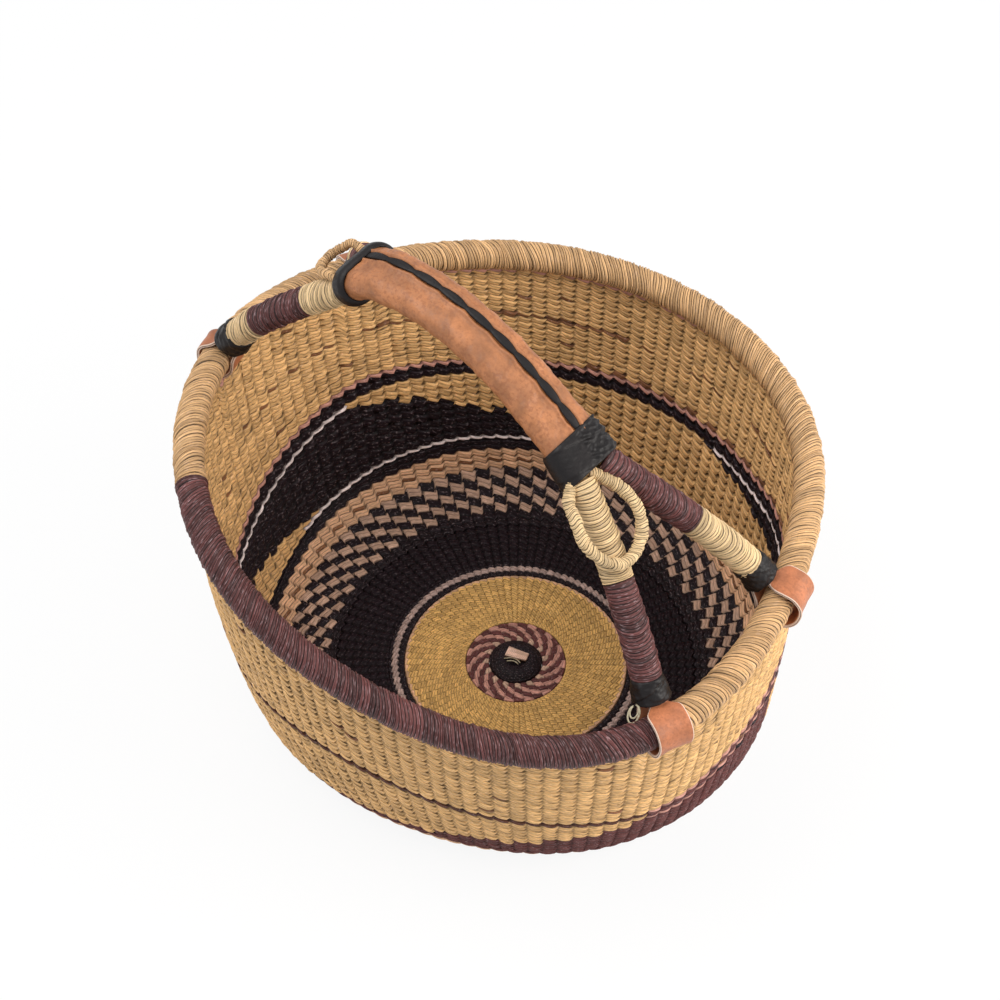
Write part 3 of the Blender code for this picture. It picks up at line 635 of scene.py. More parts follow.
def wound_roll(name, path, upward, radius, dye_name, body, slot, *nodes,
               lean_share=0.0, pitch=wind_pitch, relief=wind_relief, sides=roll_sides):
    """Roll wound with straw: a tube whose radius has one rounded bump for each turn.

    The turns have uneven widths. Each is a tilted ring: it lies further along the path by
    the lean share of the radius times the sine of the angle round the roll, and the tilt
    fades at the ends. Open ends close on a point inside.
    """
    path = spaced(path, 600)
    lengths = run_lengths(path)
    length = lengths[-1]
    forward = np.gradient(path, axis=0)
    forward /= np.linalg.norm(forward, axis=1, keepdims=True)
    side = np.cross(forward, upward)
    side /= np.linalg.norm(side, axis=1, keepdims=True)
    up = np.cross(side, forward)
    turns = max(3, round(length / pitch))
    edges = np.concatenate([[0], np.cumsum(np.clip(1 + 0.22 * random.standard_normal(turns), 0.5, 1.6))])
    edges *= length / edges[-1]
    turn_at = np.arange(turns * wind_columns + 1) / wind_columns
    stations = np.interp(turn_at, np.arange(turns + 1), edges)
    turn_of = np.minimum(turn_at.astype(int), turns - 1)
    angle = np.arange(sides) / sides * 2 * math.pi - math.pi / 2
    reach = radius * lean_share
    fade = np.clip(np.minimum(stations, length - stations) / (2.2 * reach + 1e-6), 0, 1)
    drift = np.cumsum(random.uniform(-0.8, 0.8, turns + 1))
    wobble = np.sin(2 * angle[:, None] + np.interp(turn_at, np.arange(turns + 1), drift)[None, :])
    at = stations[None, :] + (reach * np.cos(angle)[:, None] + wind_wobble * wobble) * fade[None, :]
    size = radius - relief * (1 - crest(turn_at % 1)) + 0.0003 * random.standard_normal(turns)[turn_of]
    ring = point_at(side, lengths, at) * np.cos(angle)[:, None, None] \
        + point_at(up, lengths, at) * np.sin(angle)[:, None, None]
    points = capped(point_at(path, lengths, at) + ring * size[None, :, None])
    mesh, turned = make_mesh(name, points, closed_along=False)
    turn = np.concatenate([turn_at[:1], turn_at[:1], turn_at, turn_at[-1:], turn_at[-1:]])
    faces = np.broadcast_to(turn[:-1], (sides, len(turn) - 1))
    tones = random.random(turns + 1)
    write_value(mesh, "dye", dye_places(np.full(faces.shape, dye(dye_name))))
    write_value(mesh, "tone", tones[np.minimum(faces.astype(int), turns)])
    low_u = np.arange(sides)[:, None] / sides * 3 + 0 * faces
    write_lay(mesh, (low_u, low_u + 3 / sides), (2 * faces, 2 * faces + 2 / wind_columns), turned)
    weld_poles(mesh)
    material = wound_straw if dye_name == "maroon" else pale_wound_straw
    return add_piece(name, mesh, material, body, slot, *nodes)


def rim_point(angle):
    """Point of the rim's centre line."""
    return Vector(rim_points(np.array(angle)))


def rim_frame(angle):
    """Centre, outward and forward directions of the rim roll at an angle."""
    reach = math.pi / 48
    forward = rim_point(angle + reach) - rim_point(angle - reach)
    forward.z = 0
    forward.normalize()
    return rim_point(angle), forward.cross(Vector((0, 0, 1))), forward


def middle_seat(end):
    """Middle of the two places on the rim that one end of the handle is strapped to."""
    seats = [rim_point(math.radians(leg["rim_deg"])) for leg in legs.values() if leg["end"] == end]
    return sum(seats, Vector()) / len(seats)


handle_middle = (middle_seat(1) + middle_seat(-1)) / 2 + handle_shift


def handle_point(along, up, sideways):
    """World point of a place in the handle's leaning frame."""
    return handle_middle + along_axis * along + up_axis * up + side_axis * sideways


def in_handle(point):
    """Place of a world point in the handle's frame."""
    offset = point - handle_middle
    return Vector((offset.dot(along_axis), offset.dot(up_axis), offset.dot(side_axis)))


def bezier(ends, share):
    """Point of a cubic curve: its two ends with two pulls between."""
    a, b, c, d = ends
    rest = 1 - share
    return a * rest ** 3 + b * 3 * share * rest ** 2 + c * 3 * share ** 2 * rest + d * share ** 3


def grip_line(share):
    """World point along the grip's middle, rear to front."""
    span = grip_front.x - grip_rear.x
    rear_pull = grip_rear + Vector((grip_rear_bend_shares[0], grip_rear_bend_shares[1], 0)) * span
    front_pull = grip_front + Vector((-grip_front_bend_shares[0], grip_front_bend_shares[1], 0)) * span
    place = bezier((grip_rear, rear_pull, front_pull, grip_front), share)
    bow = math.sin(math.pi * share ** grip_bow_skew)
    return handle_point(place.x, place.y + grip_bow[1] * bow, grip_bow[0] * bow)


def grip_path():
    """Points, distances and upward directions of the grip's line."""
    points = np.array([grip_line(step / 200) for step in range(201)])
    forward = np.gradient(points, axis=0)
    upward = np.cross(forward, np.array(side_axis))
    return points, run_lengths(points), upward / np.linalg.norm(upward, axis=1, keepdims=True)


def foot_point(leg):
    """World point of a leg's end, inside and over the rim roll."""
    centre, outward, forward = rim_frame(math.radians(leg["rim_deg"]))
    turn = math.radians(leg["seat_deg"])
    return centre + (Vector((0, 0, math.sin(turn))) - outward * math.cos(turn)) * (rim_roll_radius + leg["seat_gap"])


def leg_path(leg):
    """Middle line of a leg, grip to foot, as an array of close points."""
    end = grip_front if leg["end"] > 0 else grip_rear
    start = end + Vector((0, 0, leg["side"] * bundle_spread))
    foot = in_handle(foot_point(leg))
    way = foot - start
    near = start + Vector(a * b for a, b in zip(way, leg["near_shares"]))
    far = start + Vector(a * b for a, b in zip(way, leg["far_shares"]))
    ends = [handle_point(*place) for place in (start, near, far, foot)]
    return spaced(np.array([bezier(ends, step / 60) for step in range(61)]), 121)


def ripple(a, b, count=6, seed=3, waves=(0.006, 0.024)):
    """Soft creases on a surface with coordinates a and b in metres: a sum of waves in
    directions and lengths of chance, between about -1 and 1."""
    chance = np.random.default_rng(seed)
    total = 0
    for step in range(count):
        heading, wave = chance.uniform(0, 2 * math.pi), chance.uniform(*waves)
        phase = chance.uniform(0, 2 * math.pi)
        total = total + np.sin((a * math.cos(heading) + b * math.sin(heading)) / wave * 2 * math.pi + phase)
    return total / count ** 0.5 / 1.4


def stadium_ring(count):
    """Section round both bundles, two half circles with flats between: sideways centre,
    sideways and upward parts of the normal, and the distance round."""
    arc, flat = math.pi * cover_radius, 2 * bundle_spread
    at = np.arange(count) / count * (2 * arc + 2 * flat)
    turn = np.where(at < arc, at / arc * math.pi - math.pi / 2,
                    np.where(at < arc + flat, math.pi / 2, np.where(
                        at < 2 * arc + flat, (at - arc - flat) / arc * math.pi + math.pi / 2, -math.pi / 2)))
    centre = np.where(at < arc, bundle_spread, np.where(
        at < arc + flat, bundle_spread - (at - arc), np.where(
            at < 2 * arc + flat, -bundle_spread, -bundle_spread + (at - 2 * arc - flat))))
    return centre, np.cos(turn), np.sin(turn), at


def grip_shell(name, start, end, rows, count, outer, inner, material, slot, *nodes):
    """Shell round the grip between two distances of its line: the outer radius is a grid
    of (round, along), and the inner radius closes it from within."""
    points, lengths, upward = grip_path()
    at = np.linspace(start, end, rows)
    line, up = point_at(points, lengths, at), point_at(upward, lengths, at)
    centre, across, rise, distance = stadium_ring(count)
    side = np.array(side_axis)
    grids = []
    slim = 1 - grip_slim_share * np.clip(np.sin(math.pi * at / lengths[-1]), 0, 1) ** 0.6
    for radius in (outer(distance[:, None], at[None, :]), inner + 0 * (distance[:, None] + at[None, :])):
        radius = radius * slim[None, :]
        grids.append(line[None] + side * (centre[:, None] * slim[None, :] + across[:, None] * radius)[..., None]
                     + up[None] * (rise[:, None] * radius)[..., None])
    mesh, turned = make_mesh(name, np.concatenate([grids[0], grids[1][:, ::-1]], 1))
    return add_piece(name, mesh, material, "handle", slot, *nodes)


def lace_width(share):
    """Full width of the lace at a share of its length: it swells in every lobe."""
    return lace_narrow + (lace_wide - lace_narrow) * np.abs(np.sin(math.pi * lace_lobes * share)) ** 0.8


def build_grip():
    """Leather cover, black lace in its seam, and the two black collars."""
    points, lengths, upward = grip_path()
    length = lengths[-1]
    lace_start, lace_end = rear_collar_length - 0.001, length - front_collar_length + 0.002
    arc = math.pi * cover_radius
    lace_at = arc + bundle_spread - lace_side

    def cover_size(distance, at):
        share = np.clip((at - lace_start) / (lace_end - lace_start), 0, 1)
        off = distance - lace_at
        half = lace_width(share) / 2
        groove = np.exp(-(off / (half + 0.0008)) ** 4)
        lip = np.exp(-((np.abs(off) - half - 0.0018) / 0.0014) ** 2)
        ends = np.exp(-((at - rear_collar_length) / 0.004) ** 2) + np.exp(-((at - lace_end) / 0.004) ** 2)
        return cover_radius + 0.0006 * ripple(distance, at * 0.7, 7, 5, (0.012, 0.04)) - 0.0012 * groove \
            + 0.0014 * lip + 0.0005 * ends + 0.0003 * ripple(distance, at * 1.3, 9, 9, (0.004, 0.012))

    grip_shell("grip_cover", 0.0002, length - 0.0002, 170, 132, cover_size, cover_radius - cover_wall,
               grip_leather, "tan_leather", "grip_leather")

    rows = 240
    share = np.linspace(0, 1, rows)
    at = lace_start + (lace_end - lace_start) * share
    line, up = point_at(points, lengths, at), point_at(upward, lengths, at)
    turn = np.arange(14) / 14 * 2 * math.pi
    width = lace_width(share)
    swell = np.abs(np.sin(math.pi * lace_lobes * share))
    across = np.cos(turn)[:, None] * width / 2
    crease = 0.22 * np.exp(-(np.cos(turn)[:, None] / 0.3) ** 2) * swell * (np.sin(turn) > 0)[:, None]
    slim = 1 - grip_slim_share * np.sin(math.pi * at / length) ** 0.6
    rise = cover_radius * slim - 0.0007 + (np.sin(turn)[:, None] * 0.5 + 0.5 - crease) \
        * (0.0010 + (lace_height - 0.0010) * (0.35 + 0.65 * swell))
    strip = line[None] + np.array(side_axis) * (lace_side + across)[..., None] + up[None] * rise[..., None]
    mesh, turned = make_mesh("braided_lace", capped(strip), closed_along=False)
    weld_poles(mesh)
    add_piece("braided_lace", mesh, black_leather, "handle", "black_leather", "grip_lace")

    def collar_size(start, end, wrinkle, fold):
        def size(distance, at):
            share = (at - start) / (end - start)
            edge = 1 - np.abs(2 * share - 1) ** 10
            strip = (distance * 14 + share * 1.4) % 1
            step = fold * (strip - 0.5) * np.clip((1 - strip) / 0.06, 0, 1)
            creases = np.maximum(ripple(distance + at * 0.5, at * 1.3, 8, 12, (0.004, 0.014)), -0.4)
            wrinkled = np.clip((arc + bundle_spread * 1.1 - distance) / 0.004, 0.12, 1)
            return collar_radius - 0.0011 + 0.0011 * edge + step + wrinkle * creases * wrinkled
        return size

    start = length - front_collar_length
    grip_shell("front_black_collar", start, length, 60, 150,
               collar_size(start, length, 0.0009, 0.0008), collar_radius - collar_wall, black_leather,
               "black_leather", "front_collar")
    grip_shell("rear_black_collar", 0.0, rear_collar_length + 0.0025, 24, 110,
               lambda distance, at: collar_radius - 0.0012
               + 0.0026 * (1 - (at / (rear_collar_length + 0.0025) * 2 - 1) ** 4)
               + 0.0002 * ripple(distance, at, 5, 2),
               collar_radius - collar_wall, black_leather, "black_leather", "rear_collar")


def smooth_line(points):
    """Close points along a smooth curve through the given points."""
    padded = [points[0]] + points + [points[-1]]
    fine = []
    for a, b, c, d in zip(padded, padded[1:], padded[2:], padded[3:]):
        for step in range(8):
            t = step / 8
            fine.append((b * 2 + (c - a) * t + (a * 2 - b * 5 + c * 4 - d) * t ** 2
                         + (b * 3 - a - c * 3 + d) * t ** 3) / 2)
    return np.array(fine + [points[-1]])


def build_petal(name, end, size, shares, radius, dye_name, node, tuck_start):
    """Wrapped cord from under the collar, out over the right leg of one end and back."""
    leg = next(leg for leg in legs.values() if leg["end"] == end and leg["side"] < 0)
    path = leg_path(leg)
    start, middle = Vector(path[0]), Vector(path[60])
    along = (middle - start).normalized()
    sideways = (side_axis - along * side_axis.dot(along)).normalized()
    upward = along.cross(sideways) * end
    grip_out = (grip_line(0.5 + 0.5 * end) - grip_line(0.5 + 0.46 * end)).normalized()
    grip_up = grip_out.cross(sideways) * end
    rise = straw_roll_radius + petal_radius + petal_clearance
    points = []
    for reach, side in shares:
        out, up = (along, upward) if reach > 0 else (grip_out, grip_up)
        height = rise - petal_tuck * min(1.0, max(0.0, (tuck_start - reach) / 0.25))
        points.append(start + out * size[0] * reach + sideways * size[1] * side + up * height)
    line = smooth_line(points)
    line -= np.array(upward) * (petal_radius - radius)
    wound_roll(name, line, np.array(upward), radius, dye_name, "handle", "cream_straw", node,
               pitch=0.0019, relief=0.0005, sides=14, lean_share=0.1)


def build_end_wrap(name, leg):
    """Black leather bound round a leg's end: a closed tube whose radius steps where the
    strip laps over itself on a slanting line, with soft creases and rounded edges."""
    path = leg_path(leg)
    lengths = run_lengths(path)
    rows, sides = 40, 72
    share = np.linspace(0, 1, rows)
    at = lengths[-1] - end_wrap_length - 0.0030 + (end_wrap_length + 0.0019) * share
    line = point_at(path, lengths, np.minimum(at, lengths[-1]))
    past = np.maximum(at - lengths[-1], 0)
    forward = (path[-1] - path[-2]) / np.linalg.norm(path[-1] - path[-2])
    line = line + past[:, None] * forward
    side = np.cross(forward, np.array([0.1, 0.9, 0.4]))
    side /= np.linalg.norm(side)
    up = np.cross(side, forward)
    turn = np.arange(sides) / sides
    strip = (turn[:, None] * 2 + share[None, :] * 0.9 + 0.3 * leg["side"]) % 1
    lap = (strip - 0.5) * np.clip((1 - strip) / 0.07, 0, 1)
    edge = 1 - np.abs(2 * share - 1) ** 16
    around = turn * 2 * math.pi * end_wrap_radius
    size = end_wrap_radius - 0.0030 + 0.0010 * edge[None, :] + 0.0017 * share[None, :] + 0.0014 * lap \
        + 0.0005 * np.maximum(ripple(around[:, None] * 1.7, at[None, :] * 2.4, 8, 20 + leg["side"] + 3 * leg["end"]),
                              -0.5)
    ring = side * np.cos(turn * 2 * math.pi)[:, None] + up * np.sin(turn * 2 * math.pi)[:, None]
    mesh, turned = make_mesh(name + "_black_wrap", capped(line[None] + ring[:, None] * size[..., None], 0.75),
                             closed_along=False)
    weld_poles(mesh)
    add_piece(name + "_black_wrap", mesh, black_leather, "handle", "black_leather", name + "_end_wrap")


def turn_at(offset, outward):
    """Turn round the rim roll of a place, from outward up."""
    return math.atan2(offset.z, offset.dot(outward))


def strap_line(name, leg):
    """Middle line and half widths of a strap: down from the leg, out round the rim roll
    and back up, swollen outwards where it hangs slack."""
    centre, outward, across = rim_frame(math.radians(leg["rim_deg"]))
    path = leg_path(leg)
    foot = Vector(path[-1])
    above = Vector(stretch(path, 0, run_lengths(path)[-1] - strap_tail_length)[-1])
    axis = (above - foot).normalized()
    reach = (outward - axis * outward.dot(axis)).normalized() * (strap_tail_reach - strap_thickness / 2)
    top, low = foot + axis * strap_tail_length, foot - axis * strap_tail_exit
    first = turn_at(low + reach - centre, outward) - strap_outer_flare
    last = turn_at(low - reach - centre, outward) + strap_inner_flare - 2 * math.pi
    radius = rim_roll_radius + strap_clearance + strap_thickness / 2
    width = strap_width if leg["end"] > 0 else rear_strap_width
    stations = [(top + reach, strap_tail_width * 0.6), (low + reach, strap_tail_width)]
    for step in range(25):
        turn = first + (last - first) * step / 24
        slack = strap_slack * max(0, -math.sin(turn))
        swell = strap_bulges[name] * max(0, math.cos(turn + 0.5)) ** 0.7
        stations.append((centre + outward * (radius + swell) * math.cos(turn)
                         + Vector((0, 0, (radius + swell) * math.sin(turn) - slack)), width))
    stations += [(low - reach, strap_tail_width), (top - reach, strap_tail_width * 0.6)]
    line = np.array([[*place, width] for place, width in stations])
    lengths = run_lengths(line[:, :3])
    at = np.linspace(0, lengths[-1], 121)
    line = np.stack([np.interp(at, lengths, line[:, k]) for k in range(4)], -1)
    for step in range(6):
        line[1:-1] = (line[:-2] + line[1:-1] * 2 + line[2:]) / 4
    return line[:, :3], line[:, 3] / 2, np.array(across)


def build_strap(name, leg):
    """Leather strap: a strip with rounded faces, white raw edges and a slit along each edge where its
    two layers meet, darkened with painted shade, carried round the rim roll."""
    line, half, across = strap_line(name, leg)
    forward = np.gradient(line, axis=0)
    forward /= np.linalg.norm(forward, axis=1, keepdims=True)
    normal = np.cross(forward, across)
    normal /= np.linalg.norm(normal, axis=1, keepdims=True)
    face = np.array([(-0.95, 1), (-0.7, 1.08), (-0.35, 1.12), (0, 1.12), (0.35, 1.12), (0.7, 1.08), (0.95, 1),
                     (1, 0.7), (1, 0.2), (0.96, 0), (1, -0.2), (1, -0.7)])
    back = -face[:]
    section = np.concatenate([face, back])
    # Edge attribute: 1 on the white raw edges, -1 on the slits between the layers, which get painted shade
    edges = np.zeros(len(section))
    for start in (6, 18):
        edges[start:start + 2] = 1
        edges[start + 2:start + 4] = -1
        edges[start + 4:start + 6] = 1
    hanging = np.clip((half / strap_width * 2 - 0.6) / 0.4, 0, 1)
    curl = 0.0013 * section[:, :1] ** 4 * hanging[None, :]
    around = section[:, :1] * half[None, :] * 1000
    creases = 0.00022 * ripple(around / 1000, np.linspace(0, 0.1, len(line))[None, :], 6, 31)
    rise = section[:, 1:] * strap_thickness / 2 * 1.15 + curl + creases
    points = line[None] + across * (section[:, :1] * half[None, :])[..., None] + normal[None] * rise[..., None]
    mesh, turned = make_mesh(name + "_leather_strap", capped(points), closed_along=False)
    write_value(mesh, "edge", np.repeat(edges[:, None], points.shape[1] + 3, 1))
    weld_poles(mesh)
    strap = add_piece(name + "_leather_strap", mesh, strap_leather, None, "tan_leather", name + "_strap")
    centre, outward, forward = rim_frame(math.radians(leg["rim_deg"]))
    foot = foot_point(leg)
    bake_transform(strap)


def build_knot():
    """Start knot: a low ring of black straw with an eye, and the flat cut chip on it."""
    outer, crown = knot_radius - 0.0002, weave_wall + knot_rise
    profile = np.array([(0.0001, weave_wall + 0.0005), (0.003, weave_wall + 0.0005), (0.0052, weave_wall + 0.0012),
                        (0.0068, crown - 0.0012), (0.009, crown - 0.0003), (0.0118, crown), (0.0148, crown - 0.0012),
                        (0.017, crown - 0.0028), (outer, weave_wall + 0.0004), (outer, 0.0003), (0.0001, 0.0003)])
    lengths = run_lengths(np.c_[profile, profile[:, 0] * 0])
    at = np.linspace(0, lengths[-1], 64)
    radius, height = (np.interp(at, lengths, profile[:, k]) for k in range(2))
    count = 132
    turn = np.arange(count) / count
    strand = at / 0.0021
    bumps = 0.00045 * crest((strand[None, :] + turn[:, None] * 3) % 1) * (height > 0.005) \
        + 0.0004 * crest((turn * 22) % 1)[:, None] * (height > 0.005)
    angle = turn * 2 * math.pi
    points = np.stack([radius * np.cos(angle)[:, None], radius * np.sin(angle)[:, None],
                       height - 0.0005 * (height > 0.005) + bumps], -1)
    mesh, turned = make_mesh("black_start_knot", points, closed_along=False)
    shape = (count, len(at) - 1)
    cell = (np.floor(strand[None, :-1] + turn[:, None] * 3) * 31 + np.floor(turn * 22)[:, None]).astype(int)
    tones = random.random(997)
    write_value(mesh, "dye", dye_places(np.full(shape, dye("black"))))
    write_value(mesh, "tone", tones[cell % 997])
    low_u = (turn * 22)[:, None] + np.zeros(shape)
    low_v = strand[None, :-1] + turn[:, None] * 3
    write_lay(mesh, (low_u, low_u + 22 / count), (low_v, strand[None, 1:] + turn[:, None] * 3), turned)
    weld_poles(mesh)
    add_piece("black_start_knot", mesh, woven_straw, "basket", "black_straw", "start_knot")

    right, down, forward = camera_axes()
    long_way = right + down * 0.50
    long_way.z = 0
    long_way.normalize()
    short_way = Vector((0, 0, 1)).cross(long_way)
    middle = Vector((0, 0, crown + 0.0008)) + short_way * 0.0025
    turn = np.arange(24) / 24 * 2 * math.pi
    corner = lambda value: np.sign(value) * np.abs(value) ** 0.35
    across, rise = corner(np.cos(turn)) * chip_size[1] / 2, corner(np.sin(turn)) * chip_size[2] / 2
    steps = np.linspace(-1, 1, 14)
    line = np.array([middle + long_way * chip_size[0] / 2 * step for step in steps])
    wide = 1 - 0.16 * steps
    grain = 0.00012 * np.sin(across * 9000)[:, None] * np.ones(len(steps))
    points = line[None] + np.array(short_way) * (across[:, None] * wide)[..., None] \
        + np.array([0, 0, 1.0]) * (rise[:, None] + grain * (rise > 0)[:, None] - 0.05 * across[:, None])[..., None]
    mesh, turned = make_mesh("cut_straw_chip", capped(points, 0.8), closed_along=False)
    faces = (24, len(steps) + 3)
    write_value(mesh, "dye", dye_places(np.full(faces, dye("beige"))))
    write_value(mesh, "tone", np.full(faces, 0.9))
    low_u = np.broadcast_to(np.linspace(0.2, 0.8, faces[1]), faces)
    low_v = np.broadcast_to((across * 700)[:, None] + 20.5, faces)
    write_lay(mesh, (low_u, low_u + 0.04), (low_v, low_v + 0.2), turned)
    weld_poles(mesh)
    add_piece("cut_straw_chip", mesh, wound_straw, "basket", "cream_straw", "knot_chip")


def new_node(tree, kind, **values):
    """Node of a kind, with its properties set."""
    node = tree.nodes.new(kind)
    for name, value in values.items():
        setattr(node, name, value)
    return node


def feed(tree, socket, value):
    """Set a socket to a number or vector, or link it to another socket."""
    if isinstance(value, bpy.types.NodeSocket):
        tree.links.new(value, socket)
    else:
        socket.default_value = value


def sum_of(tree, operation, *values, clamp=False):
    """Output of a math node on numbers and sockets."""
    node = new_node(tree, 'ShaderNodeMath', operation=operation, use_clamp=clamp)
    for socket, value in zip(node.inputs, values):
        feed(tree, socket, value)
    return node.outputs[0]


def ranged(tree, value, low, high, to_low=0.0, to_high=1.0, smooth=False):
    """Value mapped from one range to another, held at its ends."""
    node = new_node(tree, 'ShaderNodeMapRange', interpolation_type='SMOOTHSTEP' if smooth else 'LINEAR')
    for socket, number in zip(node.inputs, (value, low, high, to_low, to_high)):
        feed(tree, socket, number)
    return node.outputs[0]


def noise_on(tree, vector, scale, detail=3.0):
    """Noise on coordinates that are scaled by a vector first."""
    mapping = new_node(tree, 'ShaderNodeMapping')
    feed(tree, mapping.inputs["Vector"], vector)
    mapping.inputs["Scale"].default_value = scale
    noise = new_node(tree, 'ShaderNodeTexNoise')
    feed(tree, noise.inputs["Vector"], mapping.outputs["Vector"])
    noise.inputs["Scale"].default_value = 1.0
    noise.inputs["Detail"].default_value = detail
    return noise.outputs["Fac"]


def scaled(tree, colour, share):
    """Colour times a number."""
    node = new_node(tree, 'ShaderNodeVectorMath', operation='SCALE')
    feed(tree, node.inputs[0], colour)
    feed(tree, node.inputs["Scale"], share)
    return node.outputs["Vector"]


def mixed(tree, share, first, second):
    """Colour mix of two colours by a share."""
    node = new_node(tree, 'ShaderNodeMix', data_type='RGBA')
    feed(tree, node.inputs[0], share)
    feed(tree, node.inputs[6], first)
    feed(tree, node.inputs[7], second)
    return node.outputs[2]


def edge_share(tree, value, start):
    """How near a coordinate is to a whole number: 0 in the middle, 1 at the edges."""
    off = sum_of(tree, 'ABSOLUTE', sum_of(tree, 'SUBTRACT', sum_of(tree, 'FRACT', value), 0.5))
    return ranged(tree, off, start, 0.5, smooth=True)


def make_straw_look():
    """Node group of the dyed straw: colour, roughness and height.

    The dye comes from its place on the ramp, and a tone from the strand. Painted shade darkens the
    grooves where the strand and rib coordinates are whole, with a finer line of painted shade between
    two straws of a strand. Noise stretched along the straw gives its fibres and small painted glints.
    """
    tree = bpy.data.node_groups.new("dyed straw", 'ShaderNodeTree')
    for name, kind in (("Groove Shade", 'Float'), ("Width", 'Float'), ("Rib Shade", 'Float'), ("Split", 'Float'),
                       ("Spread", 'Float'), ("Painted Highlight", 'Float')):
        tree.interface.new_socket(name, in_out='INPUT', socket_type='NodeSocket' + kind)
    for name, kind in (("Colour", 'Color'), ("Roughness", 'Float'), ("Height", 'Float')):
        tree.interface.new_socket(name, in_out='OUTPUT', socket_type='NodeSocket' + kind)
    start, out = new_node(tree, 'NodeGroupInput'), new_node(tree, 'NodeGroupOutput')
    place = new_node(tree, 'ShaderNodeAttribute', attribute_name="dye")
    tone = new_node(tree, 'ShaderNodeAttribute', attribute_name="tone")
    ramp = new_node(tree, 'ShaderNodeValToRGB')
    ramp.color_ramp.interpolation = 'CONSTANT'
    stops = ramp.color_ramp.elements
    stops.remove(stops[1])
    for number, colour in enumerate(dyes.values()):
        stop = stops[0] if number == 0 else stops.new(number / len(dyes))
        stop.color = (*colour, 1)
    tree.links.new(place.outputs["Fac"], ramp.inputs["Fac"])
    lay = new_node(tree, 'ShaderNodeUVMap', uv_map="straw").outputs["UV"]
    parts = new_node(tree, 'ShaderNodeSeparateXYZ')
    tree.links.new(lay, parts.inputs["Vector"])
    drift = sum_of(tree, 'SUBTRACT', noise_on(tree, lay, (1.7, 0.45, 1.0), 3.0), 0.5)
    strand = sum_of(tree, 'ADD', parts.outputs["Y"], sum_of(tree, 'MULTIPLY', drift, 1.0))
    # Painted shade: the straw colour is darkened in the grooves between kernels, ribs and split straws, where shade
    # falls; the groove, rib and split inputs set how dark it gets
    groove = edge_share(tree, sum_of(tree, 'MULTIPLY', strand, 0.5),
                        sum_of(tree, 'SUBTRACT', 0.5, start.outputs["Width"]))
    split = edge_share(tree, strand, 0.28)
    rib = edge_share(tree, parts.outputs["X"], 0.36)
    fibre = noise_on(tree, lay, (1.8, 5.5, 1.0), 4.0)
    depth = sum_of(tree, 'MULTIPLY', groove, start.outputs["Groove Shade"])
    rib_shade = sum_of(tree, 'MULTIPLY', rib, start.outputs["Rib Shade"])
    split_shade = sum_of(tree, 'MULTIPLY', split, start.outputs["Split"])
    unshaded_shares = [sum_of(tree, 'SUBTRACT', 1.0, part) for part in (depth, rib_shade, split_shade)]
    painted_shade_factor = sum_of(tree, 'MULTIPLY', sum_of(tree, 'MULTIPLY', unshaded_shares[0], unshaded_shares[1]), unshaded_shares[2])
    darkest = sum_of(tree, 'SUBTRACT', 1.0, start.outputs["Spread"])
    brightest = sum_of(tree, 'ADD', 1.0, start.outputs["Spread"])
    shade = sum_of(tree, 'MULTIPLY', ranged(tree, tone.outputs["Fac"], 0.0, 1.0, darkest, brightest),
                   ranged(tree, fibre, 0.32, 0.68, 0.62, 1.28))
    # Straw colour times tone, fibres and the painted groove shade
    straw = scaled(tree, ramp.outputs["Color"], sum_of(tree, 'MULTIPLY', shade, painted_shade_factor))
    # Painted highlights: pale pinkish glints of chance added to the straw colour, none in the painted groove shade;
    # the glint input sets how bright
    painted_highlight = ranged(tree, noise_on(tree, lay, (4.5, 2.6, 1.0), 1.0), 0.56, 0.72, 0.0, start.outputs["Painted Highlight"], smooth=True)
    painted_highlight = sum_of(tree, 'MULTIPLY', painted_highlight, painted_shade_factor)
    bright = new_node(tree, 'ShaderNodeVectorMath', operation='ADD')
    tree.links.new(straw, bright.inputs[0])
    tree.links.new(scaled(tree, (1.0, 0.80, 0.84), painted_highlight), bright.inputs[1])
    tree.links.new(bright.outputs["Vector"], out.inputs["Colour"])
    tree.links.new(ranged(tree, fibre, 0.3, 0.7, 0.45, 0.75), out.inputs["Roughness"])
    height = sum_of(tree, 'SUBTRACT', sum_of(tree, 'MULTIPLY', fibre, 0.6), sum_of(tree, 'MULTIPLY', split, 0.5))
    tree.links.new(height, out.inputs["Height"])
    return tree


def pale_straw_material():
    """Single pale straw with fine streaks on Object coordinates."""
    material = bpy.data.materials.new("pale straw")
    material.use_nodes = True
    tree = material.node_tree
    place = new_node(tree, 'ShaderNodeTexCoord').outputs["Object"]
    streak = noise_on(tree, place, (700, 700, 700), 3.0)
    colour = mixed(tree, ranged(tree, streak, 0.3, 0.7), (0.30, 0.25, 0.16, 1), (0.62, 0.55, 0.38, 1))
    tree.links.new(colour, tree.nodes["Principled BSDF"].inputs["Base Color"])
    tree.nodes["Principled BSDF"].inputs["Roughness"].default_value = 0.6
    return material


